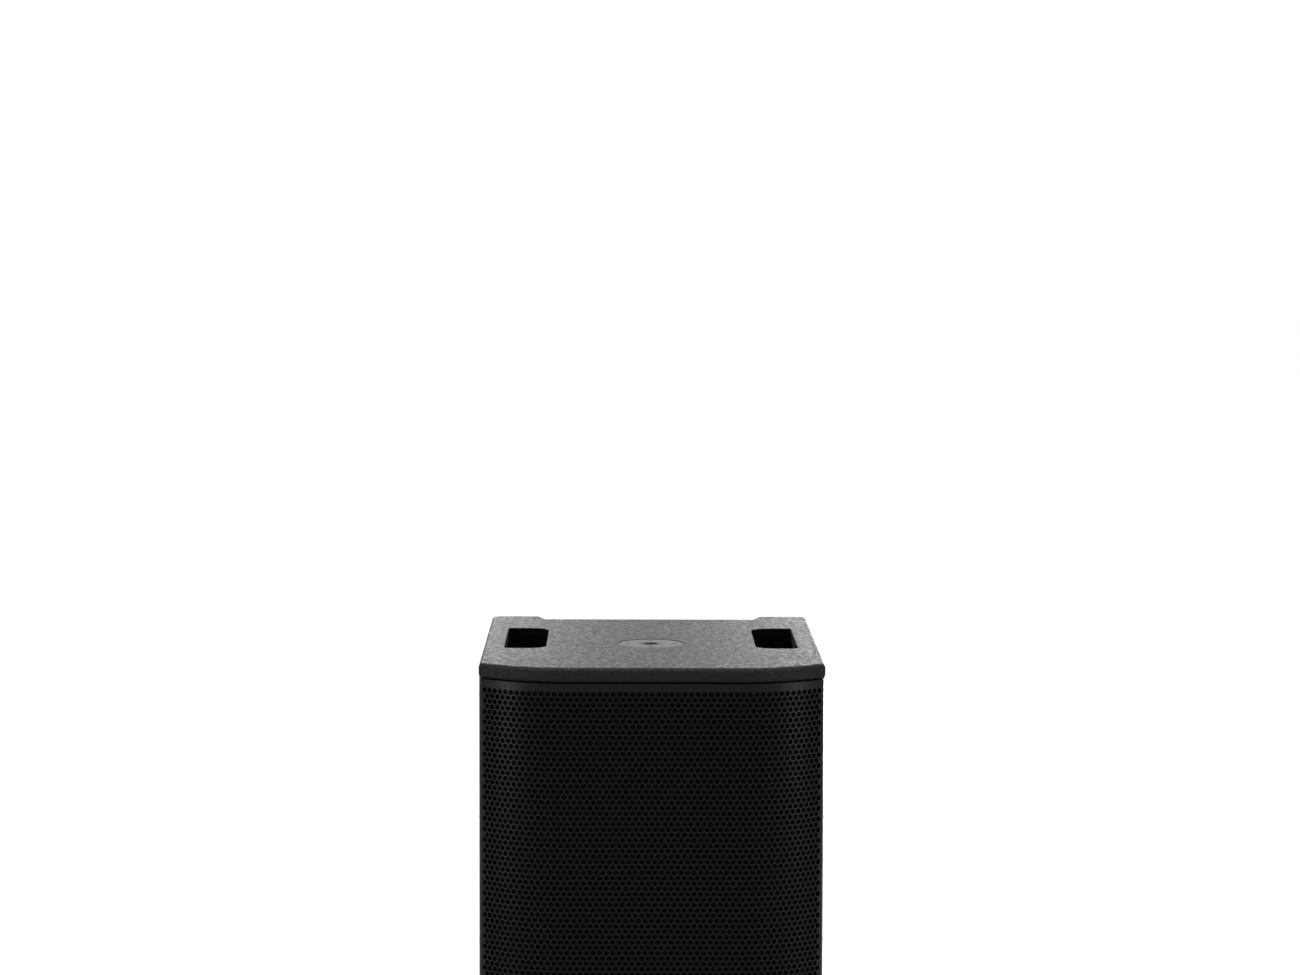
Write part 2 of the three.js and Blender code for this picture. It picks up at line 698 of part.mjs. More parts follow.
function makePhaseSwitch() {
  const body = box([-7, -15, -7], [7, -3.2, 7]);
  return cut(body, [rod(0, 0, 4.3, -10, 0, 20)]);
}
add("phase_switch", makePhaseSwitch(), blackPlastic, amplifier).position.set(phase.x, 0, phase.z);
const buttonOutline = [[0, -7], [3.9, -7], [3.9, 4.6], [3.2, 5.4], [0, 5.4]];
add("phase_button", turned(buttonOutline, 20), blackPlastic, amplifier).position.set(phase.x, 0, phase.z);

for (const [name, x, lens] of lamps) {
  const dome = turned([[0, -5], [2.4, -5], [2.4, 0.4], [1.7, 1.5], [0, 2]], 16);
  add(name, dome, lens, amplifier).position.set(x, 0, lampZ);
}

// ---------------------------------------------------------------- signal sockets

const flange = { x: 13, z: 15.5, thickness: 2 };

function socketFlange() {
  const face = roundedRectangle(-flange.x, -flange.z, flange.x, flange.z, 3);
  face.holes.push(circle(0, 0, socketBarrel - 0.6));
  return standing(face, flange.thickness, 0);
}

// Three contacts: two side by side, and one between them on the far side.
const contacts = [[-3.7, 2], [3.7, 2], [0, -4.2]];
const latch = { half: 4.4, low: 12, high: 14.7 };

function makeInputSocket() {
  const face = 4;
  const body = turned([[0, -18], [socketBarrel, -18], [socketBarrel, face], [9.8, face], [9.8, -12],
    [7.3, -12], [7.3, 1], [0, 1]], 20);
  const holes = contacts.map(([x, z]) => rod(x, z, 1.6, -10, 2, 6));
  const slot = box([-latch.half - 0.3, -1, latch.low - 0.3], [latch.half + 0.3, 3, latch.high + 0.3]);
  return cut(join([body, socketFlange()]), [...holes, slot]);
}

function makeOutputSocket() {
  const face = 4;
  const body = turned([[0, -18], [socketBarrel, -18], [socketBarrel, face], [8.3, face], [8.3, -12],
    [0, -12]], 20);
  const pins = contacts.map(([x, z]) => rod(x, z, 1.2, -13, 0.5, 6));
  return join([body, socketFlange(), ...pins]);
}

for (const [word, x, z] of inputs) {
  add(`input_socket_${word}`, makeInputSocket(), blackPlastic, amplifier).position.set(x, 0, z);
  const tab = box([-latch.half, 1.8, latch.low], [latch.half, 4.4, latch.high]);
  add(`input_latch_${word}`, tab, zincSteel, amplifier).position.set(x, 0, z);
}
for (const [word, x, z] of outputs) {
  add(`output_socket_${word}`, makeOutputSocket(), blackPlastic, amplifier).position.set(x, 0, z);
}

// ---------------------------------------------------------------- mains inlet and power switch

const drawer = { half: 12.2, low: -13.8, high: -6.8 };

function makeMainsInlet() {
  const front = 3;
  const face = roundedRectangle(-25, -17, 25, 17, 3);
  const plate = standing(face, front, 0);
  const body = box([-14, -24, -15], [14, 1, 15]);
  const mouth = polygon([[-12, -3.5], [12, -3.5], [12, 9], [8, 13], [-8, 13], [-12, 9]]);
  const recess = standing(mouth, 17, front - 16);
  const slot = box(
    [-drawer.half - 0.3, -18, drawer.low - 0.3], [drawer.half + 0.3, front + 1, drawer.high + 0.3]);
  const shell = cut(join([plate, body]), [recess, slot]);
  const bladePlaces = [[-7, 2.75], [7, 2.75], [0, 6.75]];
  const blades = bladePlaces.map(([x, z]) => box([x - 1, -14, z - 2], [x + 1, 0, z + 2]));
  return join([shell, ...blades]);
}
add("mains_inlet", makeMainsInlet(), blackPlastic, amplifier).position.set(mains.x, 0, mains.z);

function makeFuseDrawer() {
  const tray = box([-drawer.half, -17, drawer.low], [drawer.half, 3, drawer.high]);
  const lip = box([-drawer.half, 3, drawer.low], [drawer.half, 4.2, drawer.high]);
  const fuseBed = box([-10.5, -15, drawer.low + 1.5], [10.5, -8, drawer.high + 1]);
  return cut(join([tray, lip]), [fuseBed]);
}
add("fuse_drawer", makeFuseDrawer(), blackPlastic, amplifier).position.set(mains.x, 0, mains.z);

function makePowerSwitch() {
  const plate = standing(roundedRectangle(-11.5, -15.5, 11.5, 15.5, 2), 2.5, 0);
  const body = box([-9.5, -22, -13.5], [9.5, 1, 13.5]);
  const well = box([-7.8, -9, -11.3], [7.8, 3, 11.3]);
  return cut(join([plate, body]), [well]);
}
add("power_switch", makePowerSwitch(), blackPlastic, amplifier).position.set(power.x, 0, power.z);

const rockerPivotY = -3.5;
const rockerTilt = 9; // degrees either side of level

// The rocker's own axis is X, at the pivot. It stands tilted: its upper half is out, so the speaker is off.
function makeRocker() {
  const half = 9.6;
  const section = [[half, 8.5], [0, 6.8], [-half, 8.5], [-half, 2], [-3, -1.8], [3, -1.8], [half, 2]];
  const outline = polygon(section.map(([z, y]) => [y, z]));
  const geometry = extrude(outline, 15, 0.5).translate(0, 0, -7.5);
  // The outline's x becomes y, its y becomes z, and the length runs along x.
  const turn = new THREE.Matrix4().makeBasis(
    new THREE.Vector3(0, 1, 0), new THREE.Vector3(0, 0, 1), new THREE.Vector3(1, 0, 0));
  return geometry.applyMatrix4(turn).rotateX(radians(-rockerTilt));
}
const rocker = add("power_rocker", makeRocker(), blackPlastic, amplifier);
rocker.position.set(power.x, rockerPivotY, power.z);

// ---------------------------------------------------------------- inner lead and lining

// The lead from the amplifier to the woofer: it leaves the tub, dips through the brace's lower window and
// rises to the terminals.
function makeLead() {
  const tubFaceY = plateFaceY - plateThickness - tub.depth;
  const tubHoleZ = amplifierHeight - 115;
  const terminalY = baffleY + 95;
  const terminalZ = wooferHeight - 124;
  const route = new THREE.CatmullRomCurve3([[30, tubFaceY + 12, tubHoleZ], [30, tubFaceY - 14, tubHoleZ - 1],
    [36, 100, 196], [42, 60, 182], [44, 17, 178], [38, -24, 184], [20, -62, 208], [2, -98, 231],
    [0, terminalY, terminalZ]].map((point) => new THREE.Vector3(...point)));
  const section = new THREE.Shape().absarc(0, 0, 4, 0, 2 * Math.PI, false);
  return new THREE.ExtrudeGeometry(section, { steps: 26, extrudePath: route, curveSegments: 4 });
}
add("speaker_lead", makeLead(), softRubber);

const liningSheet = 20;
for (const [word, side] of [["left", -1], ["right", 1]]) {
  const near = innerHalf - liningSheet;
  const plan = sideRectangle(side, near, brace.y + board + 7, innerHalf - 0.5, recessY - board - 2, 6, 1);
  add(`lining_${word}`, lying(plan, brace.shoulder - shelfTop - 6, shelfTop + 1), wadding);
}

export default speaker;
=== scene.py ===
# %% [markdown]
# # A powered bass speaker for public address
# This lesson dresses a finished set of parts: a portrait plywood cabinet with a bowed front, a steel
# grille, two hand pockets and a pole socket in its top, and an amplifier plate in its back. The sizes are
# already fixed by the frame that we load, so every piece below is made in the same place, in the same
# units, and only looks better.

# %% Load the frame
import math

import bmesh
import bpy
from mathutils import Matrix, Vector, noise


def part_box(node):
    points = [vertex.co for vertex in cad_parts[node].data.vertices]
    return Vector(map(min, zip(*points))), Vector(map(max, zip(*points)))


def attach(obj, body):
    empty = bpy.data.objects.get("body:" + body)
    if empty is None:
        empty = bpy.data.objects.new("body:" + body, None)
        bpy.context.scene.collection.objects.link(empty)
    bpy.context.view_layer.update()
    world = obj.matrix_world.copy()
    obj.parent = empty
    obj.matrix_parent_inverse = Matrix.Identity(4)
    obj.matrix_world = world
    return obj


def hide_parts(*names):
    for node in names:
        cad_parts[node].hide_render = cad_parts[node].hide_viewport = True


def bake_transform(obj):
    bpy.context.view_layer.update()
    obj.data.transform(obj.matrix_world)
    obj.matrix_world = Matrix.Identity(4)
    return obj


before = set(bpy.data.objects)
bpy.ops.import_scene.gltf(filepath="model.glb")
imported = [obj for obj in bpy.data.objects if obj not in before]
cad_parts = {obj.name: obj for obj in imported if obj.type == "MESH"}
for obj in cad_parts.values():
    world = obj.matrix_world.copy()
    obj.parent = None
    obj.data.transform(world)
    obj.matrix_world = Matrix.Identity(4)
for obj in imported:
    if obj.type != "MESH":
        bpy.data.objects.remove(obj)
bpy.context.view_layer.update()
scene = bpy.context.scene

# %% [markdown]
# ## Camera
# The speaker is seen from almost straight ahead and a little above, from far away, so its upright edges
# stay parallel and its top shows as a thin band. A long lens gives that. We turn the camera rather than
# shift its lens, so that it also serves for views from other sides.

# %% Camera
lens = bpy.data.cameras.new("camera")
lens.sensor_width = 36
lens.lens = 96.35
lens.clip_end = 60
camera = bpy.data.objects.new("camera", lens)
camera.location = (-0.0434, -4.699, 1.201)
camera.rotation_euler = (math.radians(90 - 5.007), math.radians(-0.2), math.radians(-0.492))
scene.collection.objects.link(camera)
scene.camera = camera
print("camera height", camera.location.z, "m, lens", lens.lens, "mm")

# %% [markdown]
# ## Light
# A black speaker on white is lit from above and behind: the pale surroundings behind it glance off its
# top, while its front stays nearly black. The world does this by direction, bright overhead and behind,
# dim in front. The camera itself sees plain white, so the background is even from every side.

# %% World that is bright behind and above
world = bpy.data.worlds.new("studio")
scene.world = world
world.use_nodes = True
sky, wires = world.node_tree.nodes, world.node_tree.links
sky.clear()


def sky_node(kind, **inputs):
    made = sky.new(kind)
    for key, value in inputs.items():
        made.inputs[key.replace("_", " ")].default_value = value
    return made


direction = sky_node("ShaderNodeTexCoord")
axes = sky_node("ShaderNodeSeparateXYZ")
wires.new(direction.outputs["Generated"], axes.inputs[0])


def band(axis, low, high, dim, bright):
    """Light that grows from dim to bright as the direction turns along an axis."""
    grow = sky_node("ShaderNodeMapRange", From_Min=low, From_Max=high, To_Min=dim, To_Max=bright)
    grow.interpolation_type = "SMOOTHSTEP"
    wires.new(axes.outputs[axis], grow.inputs["Value"])
    return grow.outputs["Result"]


behind = band("Y", 0.6, 0.96, 0.015, 0.9)
overhead = band("Z", 0.45, 0.95, 0.0, 1.1)
strongest = sky.new("ShaderNodeMath")
strongest.operation = "MAXIMUM"
wires.new(behind, strongest.inputs[0])
wires.new(overhead, strongest.inputs[1])
lit = sky_node("ShaderNodeBackground")
wires.new(strongest.outputs[0], lit.inputs["Strength"])
plain = sky_node("ShaderNodeBackground", Strength=1.05)
for shade in (lit, plain):
    shade.inputs["Color"].default_value = (1, 1, 1, 1)
ray = sky_node("ShaderNodeLightPath")
choice = sky_node("ShaderNodeMixShader")
wires.new(ray.outputs["Is Camera Ray"], choice.inputs[0])
wires.new(lit.outputs[0], choice.inputs[1])
wires.new(plain.outputs[0], choice.inputs[2])
wires.new(choice.outputs[0], sky_node("ShaderNodeOutputWorld").inputs["Surface"])
print("world nodes:", len(sky))

# %% [markdown]
# Two tall soft boxes stand beside the speaker, a little in front. They brighten the curved ends of the
# grille and leave its flat middle dark, which is what makes the bow of the front readable. Two small ones
# hang behind it, above the level of the top, and glance off its paint. A wide one at the back, under the
# level of the top, shows the amplifier plate. The camera doesn't see any of them.

# %% Soft boxes at the sides
def soft_box(name, place, aim, width, height, power):
    lamp = bpy.data.lights.new(name, "AREA")
    lamp.shape, lamp.size, lamp.size_y, lamp.energy = "RECTANGLE", width, height, power
    holder = bpy.data.objects.new(name, lamp)
    holder.location = place
    holder.rotation_euler = (Vector(aim) - Vector(place)).to_track_quat("-Z", "Y").to_euler()
    holder.visible_camera = False
    scene.collection.objects.link(holder)
    return holder


for word, side, power in (("left", -1, 12), ("right", 1, 10.5)):
    soft_box("side_light_" + word, (side * 2.4, -1.6, 1.2), (0, -0.2, 0.4), 0.8, 2.2, power)
for word, side in (("left", -1), ("right", 1)):
    soft_box("top_light_" + word, (side * 0.36, 1.3, 1.02), (side * 0.2, -0.25, 0.58), 0.2, 0.2, 3)
soft_box("back_light", (1.3, 2.2, 0.3), (0, 0.27, 0.3), 1.8, 0.5, 60)
scene.view_settings.view_transform = "Standard"
scene.view_settings.look = "None"

# %% [markdown]
# ## Finishes
# Each finish is a small node tree: a texture for the grain, two close tones mixed by it, a little change
# in roughness, and a bump. One recipe with different numbers covers most of them, so we write it once.
# The texture is laid in object space, where every piece shares one frame, so the grain runs on across
# neighbouring boards.

# %% One recipe for a grained finish
SHARE_OF_PATCHES = 0.35  # how much of the texture is broad patches, and not fine grain
RAMP = (0.3, 0.7)  # the part of the texture's range that carries the change of tone and roughness


def finish(name, dark, light, rough, metallic=0.0, grain=400.0, bump=0.1, depth=0.0002, stretch=(1, 1, 1),
           cells=False, specular=0.5, coat=0.0, sheen=0.0, patches=12):
    made = bpy.data.materials.new(name)
    made.use_nodes = True
    nodes, links = made.node_tree.nodes, made.node_tree.links
    shader = nodes["Principled BSDF"]
    for socket, value in (("Metallic", metallic), ("Specular IOR Level", specular), ("Coat Weight", coat),
                          ("Sheen Weight", sheen)):
        shader.inputs[socket].default_value = value
    place = nodes.new("ShaderNodeTexCoord")
    scale = nodes.new("ShaderNodeMapping")
    scale.inputs["Scale"].default_value = stretch
    links.new(place.outputs["Object"], scale.inputs["Vector"])
    fine = nodes.new("ShaderNodeTexVoronoi" if cells else "ShaderNodeTexNoise")
    fine.inputs["Scale"].default_value = grain
    broad = nodes.new("ShaderNodeTexNoise")
    broad.inputs["Scale"].default_value = grain / patches
    broad.inputs["Detail"].default_value = 4
    for texture in (fine, broad):
        links.new(scale.outputs["Vector"], texture.inputs["Vector"])
    fine_value = fine.outputs["Distance"] if cells else fine.outputs[0]
    blend = nodes.new("ShaderNodeMix")
    blend.data_type = "FLOAT"
    blend.inputs["Factor"].default_value = SHARE_OF_PATCHES
    links.new(fine_value, blend.inputs["A"])
    links.new(broad.outputs[0], blend.inputs["B"])
    tones = nodes.new("ShaderNodeValToRGB")
    for stop, position, tone in zip(tones.color_ramp.elements, RAMP, (dark, light)):
        stop.position, stop.color = position, (*tone, 1)
    links.new(blend.outputs["Result"], tones.inputs["Fac"])
    links.new(tones.outputs["Color"], shader.inputs["Base Color"])
    dull = nodes.new("ShaderNodeMapRange")
    dull.inputs["From Min"].default_value, dull.inputs["From Max"].default_value = RAMP
    dull.inputs["To Min"].default_value, dull.inputs["To Max"].default_value = rough
    links.new(broad.outputs[0], dull.inputs["Value"])
    links.new(dull.outputs["Result"], shader.inputs["Roughness"])
    relief = nodes.new("ShaderNodeBump")
    relief.inputs["Strength"].default_value = bump
    relief.inputs["Distance"].default_value = depth
    links.new(blend.outputs["Result"], relief.inputs["Height"])
    links.new(relief.outputs["Normal"], shader.inputs["Normal"])
    return made


# %% [markdown]
# The cabinet's paint is sprayed thick and dries in small hard beads, about two millimetres apart, so it
# scatters glancing light. Rolled cells give the beads. The steel has a smoother powder coat. Plastics,
# rubber, foam, cloth and metals follow with their own grain.

# %% The finishes of the cabinet
paint = finish("textured_paint", (0.007, 0.007, 0.0075), (0.016, 0.016, 0.0165), (0.36, 0.72),
               grain=520, bump=0.9, depth=0.0011, cells=True, patches=3.2)
powder = finish("powder_coat", (0.004, 0.004, 0.0042), (0.008, 0.008, 0.0083), (0.28, 0.38),
                grain=1500, bump=0.12, depth=0.0001)
plate_coat = finish("plate_coat", (0.03, 0.03, 0.031), (0.05, 0.05, 0.051), (0.3, 0.4), grain=900, bump=0.15,
                    depth=0.0001)
moulded = finish("moulded_plastic", (0.006, 0.006, 0.0065), (0.012, 0.012, 0.0125), (0.45, 0.62), grain=1300,
                 bump=0.18, depth=0.00015, specular=0.3)
# Black plastic of the hand cups. On the top board's cut walls round the hand openings the same black is
# painted shade.
cup_plastic_and_painted_shade = finish("cup_plastic_and_painted_shade", (0.002, 0.002, 0.002), (0.004, 0.004, 0.004), (0.6, 0.8),
                     grain=1300, bump=0.2, depth=0.00015, specular=0.12)
rubber = finish("rubber", (0.012, 0.012, 0.012), (0.022, 0.022, 0.022), (0.75, 0.9), grain=700, bump=0.2)
foam = finish("open_foam", (0.004, 0.004, 0.004), (0.015, 0.015, 0.015), (0.9, 1.0), grain=900, bump=0.9,
              depth=0.0008, cells=True, specular=0.1)
print("cabinet finishes:", [m.name for m in (paint, powder, plate_coat, moulded, rubber, foam)])

# %% The finishes of the metal and the inside
anodised = finish("anodised_aluminium", (0.02, 0.02, 0.022), (0.035, 0.035, 0.038), (0.34, 0.46), 0.6,
                  grain=500, bump=0.08, depth=0.0001, stretch=(1, 1, 12))
zinc = finish("zinc_plate", (0.42, 0.43, 0.45), (0.6, 0.61, 0.63), (0.25, 0.4), 1.0, grain=300, bump=0.05)
screw_black = finish("blackened_screw", (0.02, 0.02, 0.022), (0.05, 0.05, 0.052), (0.3, 0.42), 0.8,
                     grain=800)
nickel = finish("nickel", (0.5, 0.48, 0.45), (0.66, 0.64, 0.6), (0.16, 0.28), 1.0, grain=900, bump=0.03)
casting = finish("cast_aluminium", (0.02, 0.02, 0.021), (0.04, 0.04, 0.042), (0.5, 0.7), 0.3,
                 grain=350, bump=0.3)
ferrite = finish("ferrite", (0.02, 0.02, 0.022), (0.04, 0.04, 0.044), (0.55, 0.75), grain=260, bump=0.3)
paper = finish("cone_paper", (0.008, 0.008, 0.008), (0.022, 0.021, 0.02), (0.8, 0.95), grain=260, bump=0.5,
               stretch=(1, 3, 1), sheen=0.1)
cloth = finish("treated_cloth", (0.012, 0.011, 0.01), (0.03, 0.028, 0.026), (0.7, 0.85), grain=900, bump=0.6,
               cells=True)
copper = finish("copper_wire", (0.45, 0.16, 0.07), (0.7, 0.3, 0.15), (0.25, 0.4), 1.0, grain=300, bump=0.3,
                stretch=(1, 14, 1))
birch = finish("birch_ply", (0.42, 0.27, 0.13), (0.62, 0.45, 0.26), (0.55, 0.7), grain=60, bump=0.1,
               stretch=(1, 6, 6))
fleece = finish("polyester_fleece", (0.35, 0.36, 0.38), (0.6, 0.61, 0.63), (0.9, 1.0), grain=220, bump=0.9,
                depth=0.002, sheen=0.3)
laminate = finish("circuit_laminate", (0.01, 0.09, 0.035), (0.02, 0.2, 0.08), (0.25, 0.4),
                  grain=420, bump=0.2, cells=True, coat=0.4)
print("finishes so far:", len(bpy.data.materials))

# %% [markdown]
# ## Tools for meshes
# We write sizes in millimetres, as on a drawing. A solid here is just two lists, its points and its
# faces, so solids are easy to move, mirror and add together before they become one mesh. Turning a
# profile about an axis makes every round piece, joining rings makes hollow mouldings, and cutting an
# outline from sheet makes boards.

# %% Turn a list of points and faces into a piece
MM = 0.001


CREASE = 32  # degrees between two faces from which their edge stays sharp


def smooth_but_for_creases(mesh, crease=CREASE):
    mesh.shade_smooth()
    mesh.set_sharp_from_angle(angle=math.radians(crease))


def piece(name, solid, coat, body="cabinet", stands_for=(), crease=CREASE):
    """A mesh from a solid in millimetres. It rides on its body, and may stand for nodes of the frame."""
    points, faces = solid
    mesh = bpy.data.meshes.new(name)
    mesh.from_pydata([Vector(point) * MM for point in points], [], faces)
    work = bmesh.new()
    work.from_mesh(mesh)
    bmesh.ops.remove_doubles(work, verts=work.verts, dist=2e-6)
    bmesh.ops.recalc_face_normals(work, faces=work.faces)
    work.to_mesh(mesh)
    work.free()
    smooth_but_for_creases(mesh, crease)
    mesh.materials.append(coat)
    made = bpy.data.objects.new(name, mesh)
    scene.collection.objects.link(made)
    if body:
        made.modifiers.new("even shading", "WEIGHTED_NORMAL").keep_sharp = True
        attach(made, body)
    if stands_for:
        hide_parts(*stands_for)
    return made


def joined(*solids):
    points, faces = [], []
    for more_points, more_faces in solids:
        start = len(points)
        points += more_points
        faces += [[start + k for k in face] for face in more_faces]
    return points, faces


def moved(solid, by):
    return [tuple(a + b for a, b in zip(point, by)) for point in solid[0]], solid[1]


def raised(solid, height):
    return moved(solid, (0, 0, height))


def mapped(solid, rule):
    return [rule(*point) for point in solid[0]], solid[1]


def box_of(node):
    """The low and high corners of a frame node, in millimetres."""
    return [[v / MM for v in corner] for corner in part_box(node)]


def centre_of(node):
    low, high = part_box(node)
    return [(a + b) / 2 / MM for a, b in zip(low, high)]


# %% Join rings of points, and turn a profile
def turns(count):
    """The angles that divide a full turn evenly."""
    return [2 * math.pi * k / count for k in range(count)]


def circle(radius, height, segments):
    return [(radius * math.cos(a), radius * math.sin(a), height) for a in turns(segments)]


def loft(rings, capped=True):
    """Skins rings that have the same number of points, and closes both ends."""
    count = len(rings[0])
    points = [point for ring in rings for point in ring]
    faces = []
    for low in range(len(rings) - 1):
        for k in range(count):
            after = (k + 1) % count
            here, above = low * count, (low + 1) * count
            faces.append([here + k, here + after, above + after, above + k])
    if capped:
        faces.append(list(range(count)))
        faces.append([len(points) - 1 - k for k in range(count)])
    return points, faces


def lathe(profile, segments=64, closed=False):
    """Turns (radius, height) pairs about the upright axis. A closed profile makes a ring."""
    rings = [circle(radius, height, segments) for radius, height in profile + (profile[:1] if closed else [])]
    return loft(rings, capped=not closed)


# %% Outlines with round corners, and plates cut to them
def arc(centre, radius, start, end, steps):
    return [(centre[0] + radius * math.cos(start + (end - start) * k / steps),
             centre[1] + radius * math.sin(start + (end - start) * k / steps)) for k in range(steps + 1)]


def rounded_box(x0, y0, x1, y1, radius, steps=8):
    quarter = math.pi / 2
    corners = [(x1 - radius, y1 - radius), (x0 + radius, y1 - radius), (x0 + radius, y0 + radius),
               (x1 - radius, y0 + radius)]
    return [p for turn, c in enumerate(corners)
            for p in arc(c, radius, turn * quarter, (turn + 1) * quarter, steps)]


def centred_box(half_x, half_y, radius, steps=8):
    return rounded_box(-half_x, -half_y, half_x, half_y, radius, steps)


def ring_of(x, y, radius, steps=48):
    return arc((x, y), radius, 0, 2 * math.pi * (1 - 1 / steps), steps - 1)


def plate(outlines, thickness, edge=0.0):
    """Cuts the first outline from sheet, with the others as holes. Its edges are rounded."""
    curve = bpy.data.curves.new("cutting", "CURVE")
    curve.dimensions, curve.fill_mode = "2D", "BOTH"
    curve.extrude = thickness / 2 - edge
    curve.bevel_depth, curve.bevel_resolution, curve.offset = edge, 3, -edge
    for outline in outlines:
        spline = curve.splines.new("POLY")
        spline.points.add(len(outline) - 1)
        spline.use_cyclic_u = True
        for point, (x, y) in zip(spline.points, outline):
            point.co = (x, y, 0, 1)
    holder = bpy.data.objects.new("cutting", curve)
    mesh = bpy.data.meshes.new_from_object(holder)
    solid = ([(v.co.x, v.co.y, v.co.z + thickness / 2) for v in mesh.vertices],
             [list(face.vertices) for face in mesh.polygons])
    bpy.data.objects.remove(holder)
    bpy.data.curves.remove(curve)
    bpy.data.meshes.remove(mesh)
    return solid


# %% [markdown]
# ## Boards
# The top and bottom share one outline: flat in the middle of the front, swept back to the sides on two
# arcs, and notched at the back between the rear posts. We take the main sizes from the frame and repeat
# the few that a box can't tell, such as the sweep's radius. Both boards' rims get a router's large
# round-over. The hand openings keep a crisp edge, and their cut walls are given the cups' black plastic
# as painted shade.

# %% The outline of the top and bottom
low_corner, high_corner = box_of("top_panel")
HALF, FRONT, BACK = high_corner[0], low_corner[1], high_corner[1]
TOP, CEILING = high_corner[2], low_corner[2]
FLOOR = box_of("bottom_panel")[1][2]
FLAT, BOW = 110, 48
SWEEP = ((HALF - FLAT) ** 2 + BOW ** 2) / (2 * BOW)
SWEEP_Y = FRONT + SWEEP
TURN = math.asin((HALF - FLAT) / SWEEP)
POST, SLANT, RECESS = HALF - 69, 10, BACK - 33
CORNER = 8


def board_outline():
    down, quarter = 1.5 * math.pi, math.pi / 2
    front = (arc((-FLAT, SWEEP_Y), SWEEP, down - TURN, down, 28)
             + arc((FLAT, SWEEP_Y), SWEEP, down, down + TURN, 28))
    right = arc((HALF - CORNER, BACK - CORNER), CORNER, 0, quarter, 8)
    notch = [(POST, BACK), (POST - SLANT, RECESS), (SLANT - POST, RECESS), (-POST, BACK)]
    left = arc((CORNER - HALF, BACK - CORNER), CORNER, quarter, 2 * quarter, 8)
    return front + right + notch + left


print("sweep radius", round(SWEEP, 1), "mm, outline points", len(board_outline()))

# %% Hand openings and the top board
INNER, OUTER, NEAR, FAR = 141, 197, -76, 133
PLATE_Y, PLATE_R = -26, 44
EDGE, POCKET_EDGE = 6, 1.5


def pocket_outline(side, grow=0.0, reach=OUTER, inner_r=24, outer_r=7, steps=8):
    """The hand opening: wide rounds on the inner side, tight ones on the outer side."""
    x0, x1, y0, y1 = INNER - grow, reach + grow, NEAR - grow, FAR + grow
    a, b = inner_r + grow, outer_r + grow
    quarter = math.pi / 2
    line = (arc((x1 - b, y1 - b), b, 0, quarter, steps)
            + arc((x0 + a, y1 - a), a, quarter, 2 * quarter, steps)
            + arc((x0 + a, y0 + a), a, 2 * quarter, 3 * quarter, steps)
            + arc((x1 - b, y0 + b), b, 3 * quarter, 4 * quarter, steps))
    return [(side * x, y) for x, y in line]


def rounded_over(made, low, high, radius, inside, segments=5):
    """Rounds the rims on a board's upper and lower faces, where inside tells which rims by their place.
    The two faces are then filled again, out to their new rims."""
    work = bmesh.new()
    work.from_mesh(made.data)

    def level(edge_or_face, height):
        return all(abs(v.co.z / MM - height) < 0.01 for v in edge_or_face.verts)

    rims = [e for e in work.edges if e.calc_face_angle(0) > 1 and (level(e, low) or level(e, high))
            and inside((e.verts[0].co + e.verts[1].co) / 2 / MM)]
    bmesh.ops.bevel(work, geom=rims, offset=radius * MM, segments=segments, profile=0.5, affect="EDGES",
                    clamp_overlap=False)
    for height in (low, high):
        bmesh.ops.delete(work, geom=[f for f in work.faces if level(f, height)], context="FACES")
        rim = [e for e in work.edges if e.is_boundary and level(e, height)]
        bmesh.ops.triangle_fill(work, edges=rim, use_beauty=True)
    bmesh.ops.recalc_face_normals(work, faces=work.faces)
    work.to_mesh(made.data)
    work.free()
    smooth_but_for_creases(made.data)


def at_pocket(place):
    return INNER - 5 < abs(place.x) < OUTER + 5 and NEAR - 5 < place.y < FAR + 5


def at_outline(place):
    return not at_pocket(place) and math.hypot(place.x, place.y - PLATE_Y) > PLATE_R + 5


LID = TOP - CEILING
plate_seat = ring_of(0, PLATE_Y, PLATE_R + 0.5, 72)
top_solid = plate([board_outline(), pocket_outline(-1), pocket_outline(1), plate_seat], LID)
top_board = piece("top_board", raised(top_solid, CEILING), paint, stands_for=["top_panel"])
rounded_over(top_board, CEILING, TOP, EDGE, at_outline)
rounded_over(top_board, CEILING, TOP, POCKET_EDGE, at_pocket, 3)
# The cut walls round the hand openings get the cups' black as painted shade.
top_board.data.materials.append(cup_plastic_and_painted_shade)
for face in top_board.data.polygons:
    if at_pocket(face.center / MM) and abs(face.normal.z) < 0.3:
        face.material_index = 1
bottom_solid = raised(plate([board_outline()], LID), FLOOR - LID)
bottom_board = piece("bottom_board", bottom_solid, paint, stands_for=["bottom_panel"])
rounded_over(bottom_board, FLOOR - LID, FLOOR, EDGE, at_outline)
print("top board faces", len(top_board.data.polygons))

# %% [markdown]
# The sides, posts, back and baffle are straight boards. Their shapes in the frame are right, but a
# painted board has no knife edge, so each is copied and given a small bevel. A bevel also catches a line
# of light at each seam.

# %% Straight boards with eased edges
def eased(node, coat, width=0.8, segments=2):
    """A copy of a frame node with its sharp edges rounded off."""
    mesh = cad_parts[node].data
    solid = ([tuple(v.co / MM) for v in mesh.vertices], [list(f.vertices) for f in mesh.polygons])
    made = piece(node + "_eased", solid, coat, stands_for=[node], crease=30)
    work = bmesh.new()
    work.from_mesh(made.data)
    bmesh.ops.dissolve_limit(work, angle_limit=math.radians(1), verts=work.verts, edges=work.edges)
    work.to_mesh(made.data)
    work.free()
    made.data.set_sharp_from_angle(angle=math.radians(30))
    round_off = made.modifiers.new("round_off", "BEVEL")
    round_off.width, round_off.segments, round_off.limit_method = width * MM, segments, "ANGLE"
    round_off.angle_limit = math.radians(40)
    round_off.harden_normals = True
    return made


